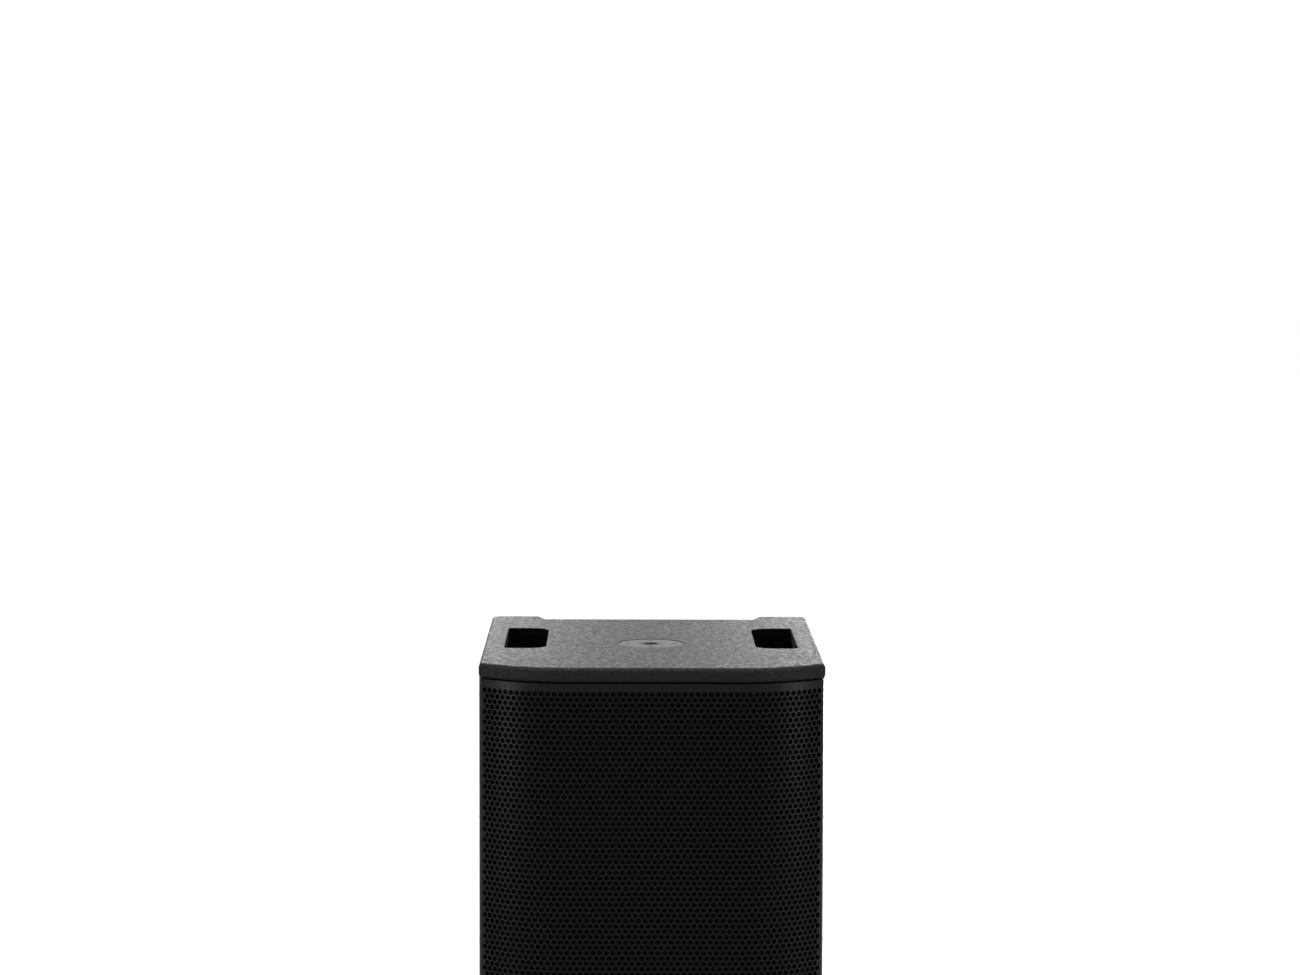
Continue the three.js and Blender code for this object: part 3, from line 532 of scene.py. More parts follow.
boards = [eased(node, paint) for node in ("side_panel_left", "side_panel_right", "rear_post_left",
                                          "rear_post_right", "back_panel", "baffle")]
inner_boards = [eased(node, birch, 0.5) for node in ("window_brace", "port_shelf", "port_divider")]
print("eased boards", len(boards) + len(inner_boards))

# %% [markdown]
# ## Hand pockets
# Each pocket is a moulded cup under its opening, wider than the opening so that fingers can curl under
# the edge. One skin runs up the outside, round the rim and down the inside, with a generous round at the
# bottom.

# %% Moulded cups
def cup(side):
    wall, depth, reach = 3, 92, OUTER + 9.5
    low = CEILING - depth
    rings = []

    def ring(grow, height, reach=reach, inner_r=24, outer_r=10):
        rings.append([(x, y, height) for x, y in pocket_outline(side, grow, reach, inner_r, outer_r)])

    fillet = 12
    for k in range(5):
        a = math.pi / 2 * k / 4
        ring(wall - fillet * (1 - math.sin(a)), low + fillet * (1 - math.cos(a)))
    under = CEILING - 0.1
    for grow, height in ((wall, CEILING - wall), (8, CEILING - wall), (8, under), (0, under)):
        ring(grow, height, reach=reach if grow <= wall else reach - 5)
    for k in range(7):
        a = math.pi / 2 * k / 6
        ring(-fillet * (1 - math.cos(a)), low + wall + fillet * (1 - math.sin(a)))
    return loft(rings)


for word, side in (("left", -1), ("right", 1)):
    made = piece("hand_cup_" + word, cup(side), cup_plastic_and_painted_shade, stands_for=["handle_cup_" + word], crease=50)
    print(made.name, "faces", len(made.data.polygons))

# %% [markdown]
# ## Pole plate
# A satellite's pole screws into the top: a round steel plate spreads its load, and a threaded bush stands
# under it. The plate is a turned disc with a chamfered rim. The thread is a real helix: the radius of
# each row of points rises and falls as the row climbs round the bore.

# %% Plate, bush and thread
PLATE_TOP = box_of("pole_plate")[1][2]
plate_solid = lathe([(15.3, PLATE_TOP - 3), (PLATE_R - 0.2, PLATE_TOP - 3), (PLATE_R - 0.2, PLATE_TOP - 1),
                     (PLATE_R - 0.5, PLATE_TOP - 0.3), (PLATE_R - 1.0, PLATE_TOP), (15.8, PLATE_TOP),
                     (15.3, PLATE_TOP - 0.5)], 96, closed=True)
piece("pole_plate_disc", moved(plate_solid, (0, PLATE_Y, 0)), plate_coat, stands_for=["pole_plate"])


def threaded_bush(outer, bore, tooth, pitch, top, bottom, floor, segments=48):
    """A closed bush. The radius of each row of points in its bore rises and falls as the rows climb."""
    skin = [(outer, bottom), (outer, top - 0.5), (outer - 0.5, top), (bore + 1.6, top)]
    rings = [circle(radius, height, segments) for radius, height in skin]
    per_turn = 5
    rows = int((top - 1.6 - floor) / pitch * per_turn)
    for row in range(rows + 1):
        height = top - 1.6 - row * pitch / per_turn
        ring = []
        for k, a in enumerate(turns(segments)):
            phase = (row / per_turn + k / segments) % 1
            radius = bore + tooth * abs(2 * phase - 1)
            ring.append((radius * math.cos(a), radius * math.sin(a), height))
        rings.append(ring)
    rings.append(circle(bore, floor, segments))
    return loft(rings)


bush = threaded_bush(15, 8.6, 1.1, 2.5, PLATE_TOP, CEILING - 35, CEILING - 31)
piece("pole_bush", moved(bush, (0, PLATE_Y, 0)), screw_black, stands_for=["pole_socket"])
print("thread rows and rim points", len(bush[0]))

# %% [markdown]
# ## Screws
# One screw head serves everywhere: a low dome with a hexagon socket sunk into it. It is a skin of rings,
# round outside and six-sided inside. A list of places makes a whole set of screws in one mesh.

# %% A socket screw, and sets of screws
def screw_head(radius, height, segments=24):
    def ring(reach, level, sides=0):
        points = []
        for a in turns(segments):
            r = reach
            if sides:
                part = math.pi / sides
                r = reach * math.cos(part) / math.cos((a % (2 * part)) - part)
            points.append((r * math.cos(a), r * math.sin(a), level))
        return points

    dome = [ring(radius, -0.4), ring(radius, height * 0.45), ring(radius * 0.92, height * 0.8),
            ring(radius * 0.72, height)]
    hexagon = [ring(radius * 0.5, height, 6), ring(radius * 0.47, height * 0.15, 6)]
    return loft(dome + hexagon)


def screws(name, places, radius, height, turn, coat=None):
    """Screw heads at places, where turn maps a head from flat to its wall."""
    head = screw_head(radius, height)
    heads = [mapped(head, lambda a, b, c, p=place: turn(p, a, b, c)) for place in places]
    return piece(name, joined(*heads), coat or screw_black)


def on_top(place, a, b, c):
    return place[0] + a, place[1] + b, place[2] + c


def on_back(place, a, b, c):
    return place[0] + a, place[1] + c, place[2] + b


def on_front(place, a, b, c):
    return place[0] + a, place[1] - c, place[2] + b


plate_screws = [(32 * math.cos(a), PLATE_Y + 32 * math.sin(a), PLATE_TOP)
                for a in (0, math.pi / 2, math.pi, 1.5 * math.pi)]
screws("pole_plate_screws", plate_screws, 3.6, 0.3, on_top, plate_coat)
print("screws on the pole plate", len(plate_screws))

# %% [markdown]
# ## Grille
# The grille is one steel sheet, perforated with staggered six-sided holes and bent round the front. We
# draw it flat first, as a lattice of cells with a hole in each, and then lay every point along the bow by
# its distance from the middle. So the holes stay the same size round the curve, as they do when real
# sheet is bent.

# %% The line that the sheet follows
SHEET, INSET, ELBOW = 1.5, 1, 10
ELBOW_X = HALF - INSET - ELBOW
ELBOW_REACH = math.sqrt((SWEEP - INSET - ELBOW) ** 2 - (ELBOW_X - FLAT) ** 2)
ELBOW_Y = SWEEP_Y - ELBOW_REACH
ELBOW_TURN = math.atan2(ELBOW_X - FLAT, ELBOW_REACH)
BOW_END = FLAT + (SWEEP - INSET) * ELBOW_TURN
ELBOW_END = BOW_END + ELBOW * (math.pi / 2 - ELBOW_TURN)
RETURN_Y = box_of("grille")[1][1]
SHEET_END = ELBOW_END + RETURN_Y - ELBOW_Y


def along_front(s, depth=0.0):
    """The place on the bowed front at a distance s from the middle, and depth inside the sheet's face."""
    side, d = (1 if s >= 0 else -1), abs(s)
    if d <= FLAT:
        x, y, nx, ny = d, FRONT + INSET, 0, 1
    elif d <= BOW_END:
        a = (d - FLAT) / (SWEEP - INSET)
        x, y = FLAT + (SWEEP - INSET) * math.sin(a), SWEEP_Y - (SWEEP - INSET) * math.cos(a)
        nx, ny = -math.sin(a), math.cos(a)
    elif d <= ELBOW_END:
        a = ELBOW_TURN + (d - BOW_END) / ELBOW
        x, y = ELBOW_X + ELBOW * math.sin(a), ELBOW_Y - ELBOW * math.cos(a)
        nx, ny = -math.sin(a), math.cos(a)
    else:
        x, y, nx, ny = ELBOW_X + ELBOW, ELBOW_Y + d - ELBOW_END, -1, 0
    return side * (x + nx * depth), y + ny * depth


print("sheet width laid flat", round(2 * SHEET_END), "mm")

# %% The flat lattice of cells
PITCH, ROW, ROWS, ACROSS = 8.4, 7.03, 72, 55
HOLE = 0.79
grille_low, grille_high = [corner[2] for corner in box_of("grille")]
MIDDLE = (grille_low + grille_high) / 2
spots, index, sheet_faces = [], {}, []


def spot(s, z):
    key = (round(s * 100), round(z * 100))
    if key not in index:
        index[key] = len(spots)
        spots.append((s, z))
    return index[key]


def cell_corners(s, z, size=1.0):
    wide, tall, shoulder = PITCH / 2 * size, ROW * 2 / 3 * size, ROW / 3 * size
    return [(s, z + tall), (s - wide, z + shoulder), (s - wide, z - shoulder), (s, z - tall),
            (s + wide, z - shoulder), (s + wide, z + shoulder)]


cell_rows = []
for r in range(ROWS):
    z = MIDDLE + (ROWS - 1) / 2 * ROW - r * ROW
    count = ACROSS - r % 2
    cell_rows.append([(PITCH * (c - (count - 1) / 2), z) for c in range(count)])
for s, z in [cell for row in cell_rows for cell in row]:
    outer = [spot(*corner) for corner in cell_corners(s, z)]
    inner = [spot(*corner) for corner in cell_corners(s, z, HOLE)]
    for k in range(6):
        after = (k + 1) % 6
        sheet_faces.append([outer[k], outer[after], inner[after], inner[k]])
print("holes in the grille", sum(len(row) for row in cell_rows))

# %% [markdown]
# Around the lattice the sheet is plain. Its edge is a zigzag of cell corners, so we fill from each zigzag
# step straight out to the sheet's border, first above and below, then at both ends and round the elbows.

# %% Plain margins round the lattice
for row, edge, lift in ((cell_rows[0], grille_high, 1), (cell_rows[-1], grille_low, -1)):
    zigzag = []
    for s, z in row:
        zigzag += [(s - PITCH / 2, z + lift * ROW / 3), (s, z + lift * ROW * 2 / 3)]
    zigzag.append((row[-1][0] + PITCH / 2, row[-1][1] + lift * ROW / 3))
    for (s0, z0), (s1, z1) in zip(zigzag, zigzag[1:]):
        sheet_faces.append([spot(s0, z0), spot(s1, z1), spot(s1, edge), spot(s0, edge)][::lift])
strip = ([BOW_END] + [BOW_END + (ELBOW_END - BOW_END) * k / 6 for k in range(1, 7)]
         + [(ELBOW_END + SHEET_END) / 2, SHEET_END])
for side in (-1, 1):
    chain = [(side * (-cell_rows[0][0][0] + PITCH / 2), grille_high)]
    for row in cell_rows:
        edge_s = side * (-row[0][0] + PITCH / 2)
        chain += [(edge_s, row[0][1] + ROW / 3), (edge_s, row[0][1] - ROW / 3)]
    chain.append((chain[-1][0], grille_low))
    for (s0, z0), (s1, z1) in zip(chain, chain[1:]):
        line0, line1 = [(s0, z0)], [(s1, z1)]
        line0 += [(side * s, z0) for s in strip]
        line1 += [(side * s, z1) for s in strip]
        for a, b, c, d in zip(line0, line0[1:], line1[1:], line1):
            sheet_faces.append([spot(*a), spot(*b), spot(*c), spot(*d)][::-side])
print("faces in the flat sheet", len(sheet_faces))

# %% [markdown]
# To give the flat drawing its thickness we lay it down twice, on the outer and the inner face of the
# steel, and wall in every edge that belongs to one face only. Those are the rims of the holes and the
# sheet's own border.

# %% Bend the sheet and give it thickness
def thickened(flat, faces, outside, inside):
    edges = {}
    for face in faces:
        for a, b in zip(face, face[1:] + face[:1]):
            key = (min(a, b), max(a, b))
            edges[key] = None if key in edges else (a, b)
    outer = [(*along_front(s, outside), z) for s, z in flat]
    inner = [(*along_front(s, inside), z) for s, z in flat]
    shift = len(flat)
    walls = [[b, a, a + shift, b + shift] for a, b in [edge for edge in edges.values() if edge]]
    return outer + inner, faces + [[k + shift for k in reversed(face)] for face in faces] + walls


grille = piece("perforated_grille", thickened(spots, sheet_faces, 0, SHEET), powder, stands_for=["grille"])
print("grille faces", len(grille.data.polygons))

# %% [markdown]
# A sheet of black foam lies behind the grille. It keeps dust off the woofer and hides it. It is cut
# smaller than the grille and stops before the elbows.

# %% Foam behind the grille
foam_low, foam_high = [corner[2] for corner in box_of("grille_foam")]
foam_half = FLAT + (SWEEP - INSET) * math.radians(33.5)
squares = 96
row = squares + 1
foam_spots = [(-foam_half + 2 * foam_half * i / squares, foam_low + (foam_high - foam_low) * j / squares)
              for j in range(row) for i in range(row)]
foam_faces = [[k, k + 1, k + row + 1, k + row]
              for k in [j * row + i for j in range(squares) for i in range(squares)]]
foam_sheet = piece("foam_sheet", thickened(foam_spots, foam_faces, SHEET + 0.6, SHEET + 8.4), foam,
                   stands_for=["grille_foam"])
print("foam sheet", round(2 * foam_half), "mm wide")

# %% [markdown]
# The sheet turns back along each side into a rebate, and short screws hold it there. They are the only
# fasteners of the grille that show, and only from the side.

# %% Screws along the grille's returns
def on_left(place, a, b, c):
    return place[0] - c, place[1] + a, place[2] + b


def on_right(place, a, b, c):
    return place[0] + c, place[1] + a, place[2] + b


RETURN_X, SCREW_Y = ELBOW_X + ELBOW, RETURN_Y - 5
screw_rows = [grille_low + 22 + (grille_high - grille_low - 44) * k / 3 for k in range(4)]
screws("grille_screws_left", [(-RETURN_X, SCREW_Y, z) for z in screw_rows], 2.9, 0.8, on_left)
screws("grille_screws_right", [(RETURN_X, SCREW_Y, z) for z in screw_rows], 2.9, 0.8, on_right)
print("screws on each side of the grille", len(screw_rows))

# %% [markdown]
# ## Feet
# Rubber feet keep the box off a damp stage and stop it from walking. Each is turned: a cone with two
# grooves that grip, and a pocket in its tread where its screw sits clear of the floor.

# %% Rubber feet and their screws
def softened(outline, radius, steps=3, open_ends=False):
    """Rounds each corner of an outline with a short curve, as a cutter or a mould leaves it."""
    count, made = len(outline), []
    for k, corner in enumerate(outline):
        before, after = outline[k - 1], outline[(k + 1) % count]
        if open_ends and k in (0, count - 1):
            made.append(corner)
            continue
        ends = []
        for other in (before, after):
            length = math.dist(corner, other)
            share = min(radius, 0.45 * length) / length
            ends.append([c + (o - c) * share for c, o in zip(corner, other)])
        for step in range(steps + 1):
            t = step / steps
            made.append(tuple((1 - t) ** 2 * a + 2 * t * (1 - t) * c + t ** 2 * b
                              for a, c, b in zip(ends[0], corner, ends[1])))
    return made


FOOT = box_of("foot_front_left")[1][2]
tread = softened([(2.7, FOOT), (19, FOOT), (17.5, 1.5), (16.2, 0), (13.9, 0), (13.3, 1), (12.7, 0),
                  (11.9, 0), (11.3, 1), (10.7, 0), (9, 0), (9, 8), (2.7, 8)], 0.5)
foot_places = []
for node in ("foot_front_left", "foot_front_right", "foot_rear_left", "foot_rear_right"):
    x, y, z = centre_of(node)
    foot_places.append((x, y, 8))
    piece(node + "_turned", moved(lathe(tread, 72, closed=True), (x, y, 0)), rubber, stands_for=[node])
screws("foot_screws", foot_places, 5.2, 2.6, lambda p, a, b, c: (p[0] + a, p[1] + b, p[2] - c))
print("feet", len(foot_places))

# %% [markdown]
# ## Woofer
# The woofer hides behind the grille and its foam, but it is a real one: a cast frame, a magnet with its
# steel, and a cone that travels in and out on its surround and spider. We turn all its round pieces about
# one axis. A profile gives each point's radius and its depth behind the face of the baffle.

# %% Turning about the woofer's axis, and the magnet system
BAFFLE = box_of("baffle")[0][1]
WOOFER_Z = centre_of("woofer_magnet")[2]


def about_woofer(outline, segments=120):
    return mapped(lathe(outline, segments, closed=True), lambda a, b, c: (a, BAFFLE + c, WOOFER_Z + b))


GAP_OUTER = 52.4
top_plate = softened([(GAP_OUTER, 112), (96, 112), (96, 122), (GAP_OUTER, 122)], 1.2)
magnet_ring = softened([(58, 122), (100, 122), (100, 146), (58, 146)], 2)
pole_piece = softened([(12, 114), (47, 112), (47.6, 114), (47.6, 146), (96, 146), (96, 154), (92, 158),
                       (15, 158), (12, 155)], 0.8)
piece("magnet_top_plate", about_woofer(top_plate), zinc, stands_for=["woofer_top_plate"])
piece("magnet_ferrite_ring", about_woofer(magnet_ring), ferrite, stands_for=["woofer_magnet"])
piece("magnet_yoke_and_pole", about_woofer(pole_piece), zinc, stands_for=["woofer_yoke"])
print("woofer axis at height", round(WOOFER_Z), "mm")

# %% [markdown]
# The frame is cast in aluminium: a broad flange, six channel-shaped spokes and a rear ring that holds the
# spider and the magnet. Each spoke is skinned from a U section that narrows towards the back, with its
# ribs on the outside.

# %% Cast frame
SPOKES = 6
front_ring = softened([(172, -5), (194, -5), (194, 0), (176, 0), (176, 14), (164, 28), (164, 20),
                       (171, 12)], 0.8)
rear_ring = softened([(122, 77), (116, 84), (116, 94), (103, 94), (103, 112), (GAP_OUTER, 112),
                      (GAP_OUTER, 108), (98, 108), (98, 90), (110, 90), (110, 82), (122, 68.2)], 0.8)


def spoke(turn):
    stations = []
    for k in range(9):
        r = 168 - 50 * k / 8
        half = 25 - 7 * k / 8
        outside, inside = 14 + (176 - r) * 70 / 60, 12 + (171 - r) * 70 / 61 + 0.3
        rib, web = outside + 3, outside - 0.3
        section = [(-half, inside), (half, inside), (half, rib), (half - 4, rib),
                   (half - 5, web), (5 - half, web), (4 - half, rib), (-half, rib)]
        ring = []
        for across, depth in softened(section, 1.0, 2):
            a = turn + across / r
            ring.append((r * math.cos(a), BAFFLE + depth, WOOFER_Z + r * math.sin(a)))
        stations.append(ring)
    return loft(stations)


frame_solids = [about_woofer(front_ring), about_woofer(rear_ring)]
frame_solids += [spoke(2 * math.pi * k / SPOKES) for k in range(SPOKES)]
piece("woofer_cast_frame", joined(*frame_solids), casting, stands_for=["woofer_basket"], crease=40)
gasket_line = softened([(177, -6.4), (177, -9), (192.5, -9), (192.5, -5.2), (189.5, -5.2),
                        (189.5, -6.4)], 0.6)
piece("woofer_gasket", about_woofer(gasket_line), rubber)
BOLT_CIRCLE = 184.5
frame_screws = [(BOLT_CIRCLE * math.cos(a), BAFFLE - 8.9, WOOFER_Z + BOLT_CIRCLE * math.sin(a))
                for a in [math.pi * (2 * k + 1) / 8 for k in range(8)]]
screws("woofer_screws", frame_screws, 4.5, 2.4, on_front)
print("spokes", SPOKES, "screws", len(frame_screws))

# %% [markdown]
# The moving pieces ride on the cone's body. The cone is pressed paper with three stiffening rings, its
# cap is a shallow dome, and the coil is a thin tube wound with wire, drawn turn by turn as a rippled
# profile.

# %% Cone, dust cap and voice coil
CONE_RIM, CONE_NECK, CONE_FRONT, CONE_DEEP = 152, 50.6, 2, 56


def straight_cone(r):
    return CONE_FRONT + (CONE_RIM - r) / (CONE_RIM - CONE_NECK) * CONE_DEEP


def cone_depth(r):
    return straight_cone(r) - sum(0.8 * math.exp(-((r - at) / 2.2) ** 2) for at in (84, 106, 128))


cone_radii = [CONE_NECK + (CONE_RIM - CONE_NECK) * k / 72 for k in range(73)]
cone_line = ([(r, cone_depth(r)) for r in cone_radii] + [(156, 2), (156, 3.4)]
             + [(r, cone_depth(r) + 1.4) for r in reversed(cone_radii)])
piece("paper_cone", about_woofer(cone_line), paper, "cone_assembly", ["cone"])
CAP, RISE, CAP_SHEET = 64, 22, 1.2
cap_foot = straight_cone(CAP) - 0.4
cap_line = [(max(0.02, CAP * k / 24), cap_foot - CAP_SHEET - RISE * (1 - (k / 24) ** 2))
            for k in range(25)]
cap_line += [(r, y + CAP_SHEET) for r, y in reversed(cap_line)]
piece("dust_cap_dome", about_woofer(cap_line, 96), paper, "cone_assembly", ["dust_cap"])
TURNS = 24
winding = []
for k in range(TURNS * 4 + 1):
    winding.append((50.75 + 0.35 * math.sin(math.pi * k / 4) ** 2, 104 + 26 * k / (TURNS * 4)))
coil_line = [(48.9, 60), (49.5, 60), (49.5, 103.9)] + winding + [(48.9, 130)]
piece("voice_coil_winding", about_woofer(coil_line), copper, "cone_assembly", ["voice_coil"])
print("coil turns", TURNS)

# %% [markdown]
# On the real woofer the surround and the spider bend as the cone travels: their outer rims stay on the
# frame and their inner rims go with the cone. Here both are still pieces on no body, with their placing
# baked into their points.

# %% Surround and spider
def bends_by_radius(made):
    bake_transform(made)


def rolled(start, stop, depth, height, waves, steps):
    line = []
    for k in range(steps + 1):
        r = start + (stop - start) * k / steps
        line.append((r, depth + height / 2 * (math.cos(2 * math.pi * waves * k / steps) - 1)))
    return line


surround_front = ([(148.5, 0.7), (155, 0.7), (156.2, 0.2), (156.6, -1), (156.8, -4.5)]
                  + rolled(157.4, 172.4, -6.2, 5, 2, 32) + [(188.6, -6.2)])
surround_back = [(r + (0.4 if r < 157 and y < 0.5 else 0), y + 1) for r, y in surround_front]
surround = piece("surround_rolls", about_woofer(surround_front + surround_back[::-1]), cloth, None,
                 ["surround"], crease=60)
bends_by_radius(surround)
spider_front = [(50, 88.6)] + rolled(52.5, 98.5, 88.6, 5, 6, 72) + [(109.5, 88.6)]
spider_line = spider_front + [(r, y + 0.8) for r, y in reversed(spider_front)]
spider = piece("spider_corrugated", about_woofer(spider_line), cloth, None, ["spider"], crease=60)
bends_by_radius(spider)
print("surround points", len(surround.data.vertices), "spider points", len(spider.data.vertices))

# %% [markdown]
# Two spring terminals stand on a moulded strip on the frame's side, where the lead from the amplifier
# ends.

# %% Woofer terminals
low, high = box_of("woofer_terminals")
strip_line = rounded_box(low[0], low[2], high[0], high[2], 2)
strip_solid = mapped(plate([strip_line], high[1] - low[1], 0.5), lambda a, b, c: (a, low[1] + c, b))
piece("terminal_strip", strip_solid, moulded, stands_for=["woofer_terminals"])
tags = []
for x in (-8, 8):
    tag_line = rounded_box(x - 3, low[2] - 7, x + 3, low[2] + 3, 1.2, 4)
    tags.append(mapped(plate([tag_line, ring_of(x, low[2] - 4, 1, 16)], 0.8, 0.2),
                       lambda a, b, c: (a, low[1] + 5 + c, b)))
piece("terminal_tags", joined(*tags), nickel)
print("terminal tags", len(tags))

# %% [markdown]
# ## Amplifier
# The amplifier is one module on a black aluminium plate, let into the back: a heat sink above, controls
# and signal sockets in the middle, and the mains below. The plate is cut with all its holes at once, and
# sits on the back panel with screws round its rim.

# %% Amplifier plate
HALF_X, AMP_FACE, AMP_TOP = box_of("amp_plate")[1]
AMP_Z = centre_of("amp_plate")[2]
HALF_Z = AMP_TOP - AMP_Z
inputs = [centre_of("input_socket_" + word) for word in ("left", "right")]
outputs = [centre_of("output_socket_" + word) for word in ("left", "right")]
level, crossover = centre_of("level_shaft"), centre_of("crossover_shaft")
phase, mains, power = centre_of("phase_button"), centre_of("mains_inlet"), centre_of("power_switch")
lamps = [centre_of("power_lamp"), centre_of("limit_lamp")]


def at_back(solid, x, z, y=0.0):
    """Puts a solid drawn flat on the outer face of the amplifier plate: its height becomes the way out."""
    return mapped(solid, lambda a, b, c: (x + a, AMP_FACE + y + c, z + b))


cuts = []
for places, radius, steps in ((inputs + outputs, 12.1, 48), ([level, crossover], 3.9, 24), ([phase], 4.3, 32),
                              (lamps, 2.7, 24)):
    cuts += [ring_of(x, z - AMP_Z, radius, steps) for x, y, z in places]
for (x, y, z), half_x, half_z in ((mains, 14.5, 15.5), (power, 9.9, 13.9)):
    z -= AMP_Z
    cuts.append(rounded_box(x - half_x, z - half_z, x + half_x, z + half_z, 1, 3))
face = plate([centred_box(HALF_X, HALF_Z, 6)] + cuts, 3, 0.4)
piece("amplifier_plate", at_back(face, 0, AMP_Z, -3), anodised, stands_for=["amp_plate"])
rim = [(side * (HALF_X - 8), AMP_FACE - 0.1, AMP_Z + (HALF_Z - 10) * k / 3)
       for side in (-1, 1) for k in range(-3, 4)]
rim += [(x, AMP_FACE - 0.1, AMP_Z + side * (HALF_Z - 8)) for side in (-1, 1) for x in (-62, 0, 62)]
screws("amplifier_plate_screws", rim, 3.8, 2.2, on_back)
print("holes in the plate", len(cuts), "screws", len(rim))

# %% [markdown]
# The heat sink is an extrusion: a base with upright fins. Real fins taper a little and have round tips,
# so we draw the section again, with softened corners, and give it its height.

# %% Heat sink
def upright(outline, low, high, ease=0.5):
    """A straight length of one section, standing up, with both its ends eased."""
    def ring(z):
        return [(x, y, z) for x, y in outline]

    return loft([ring(low), ring(low + ease), ring(high - ease), ring(high)])


FINS, SINK = 21, 110
sink_low, sink_high = [corner[2] for corner in box_of("heat_sink")]
FIN_FOOT, FIN_TIP, BASE, TALL = 2.4, 1.8, 5, 24
step = (2 * SINK - FIN_FOOT) / (FINS - 1)
comb = [(SINK, AMP_FACE), (-SINK, AMP_FACE)]
for k in range(FINS):
    left = -SINK + k * step
    if k:
        comb.append((left, AMP_FACE + BASE))
    comb += [(left + 0.3, AMP_FACE + TALL), (left + 0.3 + FIN_TIP, AMP_FACE + TALL)]
    if k < FINS - 1:
        comb.append((left + FIN_FOOT, AMP_FACE + BASE))
piece("heat_sink_extrusion", upright(softened(comb, 0.8, 2), sink_low, sink_high), anodised,
      stands_for=["heat_sink"])
print("fins", FINS, "on a pitch of", round(step, 1), "mm")

# %% [markdown]
# ## Knobs and their dials
# Each control is a potentiometer with a threaded bush and a nut behind, a shaft with a flat, and a fluted
# knob. The knob's flutes come from a radius that ripples round its circle. Its pointer is a pale line let
# into its face, and a fan of printed ticks on the plate shows its range.

# %% Finishes of the small parts
ink = finish("printed_ink", (0.5, 0.5, 0.5), (0.6, 0.6, 0.6), (0.5, 0.6), grain=3000, bump=0.02)
brass = finish("brass_blade", (0.5, 0.36, 0.14), (0.66, 0.5, 0.22), (0.2, 0.34), 1.0, grain=900, bump=0.04)
green_lens = finish("green_lens", (0.02, 0.22, 0.06), (0.03, 0.3, 0.08), (0.12, 0.2),
                    grain=900, bump=0.02, coat=0.8)
red_lens = finish("red_lens", (0.3, 0.02, 0.015), (0.4, 0.03, 0.02), (0.12, 0.2),
                  grain=900, bump=0.02, coat=0.8)
knob_grip = finish("knob_grip", (0.008, 0.008, 0.008), (0.016, 0.016, 0.016), (0.6, 0.8),
                   grain=1600, bump=0.3)
print("small finishes", [m.name for m in (ink, brass, green_lens, red_lens, knob_grip)])

# %% Knobs, shafts and potentiometers
FLUTES, ROUND = 18, 144
KNOB_SKIN = [(4.4, 9.6, 0), (5.0, 9.9, 0), (5.6, 9.6, 0), (6.2, 8.9, 0.2), (7, 8.7, 0.55), (12, 8.4, 0.55),
             (16.4, 8.1, 0.5), (17.1, 7.7, 0.2), (17.4, 7.1, 0), (17.2, 6.2, 0)]


def knob_solid():
    """A hole for the shaft, and then the outside: height, radius and the flutes' depth at each level."""
    rings = [circle(3.2, height, ROUND) for height in (13.2, 4.4)]
    for height, radius, flute in KNOB_SKIN:
        ring = []
        for a in turns(ROUND):
            r = radius - flute * (0.5 + 0.5 * math.cos(FLUTES * a))
            ring.append((r * math.cos(a), r * math.sin(a), height))
        rings.append(ring)
    return loft(rings)


shaft_section = softened([(3 * math.cos(a), 3 * math.sin(a))
                          for a in [math.radians(d) for d in range(-50, 231, 10)]], 0.2, 2)
shaft = loft([[(a, b, c) for a, b in shaft_section] for c in (-16, 12.4, 12.9)])
mark = raised(plate([rounded_box(-0.6, 1.6, 0.6, 7.2, 0.5, 4)], 0.7, 0.1), 17.0)
pot_line = softened([(3.2, -17), (8.5, -17), (8.5, -4), (3.7, -4), (3.7, 3.4), (3.2, 3.4)], 0.4)
nut_line = [(5.6 * math.cos(k * math.pi / 3), 5.6 * math.sin(k * math.pi / 3)) for k in range(6)]
nut = plate([nut_line, ring_of(0, 0, 3.75, 24)], 1.9, 0.3)
pot = joined(lathe(pot_line, 48, closed=True), raised(nut, 0.1))
for name, (x, y, z) in (("level", level), ("crossover", crossover)):
    turning = name + "_control"
    piece(name + "_knob_fluted", at_back(knob_solid(), x, z), knob_grip, turning, [name + "_knob"], 40)
    piece(name + "_knob_pointer", at_back(mark, x, z), ink, turning)
    piece(name + "_shaft_flatted", at_back(shaft, x, z), zinc, turning, [name + "_shaft"])
    piece(name + "_potentiometer", at_back(pot, x, z), zinc, stands_for=[name + "_pot"])
print("flutes on each knob", FLUTES)

# %% Ticks, panel lines and marks
def printed(shapes):
    """Flat ink a tenth of a millimetre thick, from outlines on the plate."""
    return joined(*[at_back(plate([shape], 0.1), 0, 0) for shape in shapes])


ticks = []
for x, y, z in (level, crossover):
    for k in range(11):
        a = math.radians(90 - 150 + 30 * k)
        near, far, half = 11.6, 14.6 if k % 5 == 0 else 13.6, 0.28
        along, across = (math.cos(a), math.sin(a)), (-math.sin(a), math.cos(a))
        ticks.append([(x + along[0] * r + across[0] * w, z + along[1] * r + across[1] * w)
                      for r, w in ((near, -half), (far, -half), (far, half), (near, half))])
for z in (level[2] + 24, inputs[0][2] - 24, level[2] - 34):
    ticks.append([(-112, z - 0.25), (112, z - 0.25), (112, z + 0.25), (-112, z + 0.25)])
piece("printed_ticks_and_lines", printed(ticks), ink)
print("printed marks", len(ticks))

# %% [markdown]
# The phase switch is a latching push button in a collar, and two small lenses beside it show power and
# limiting.

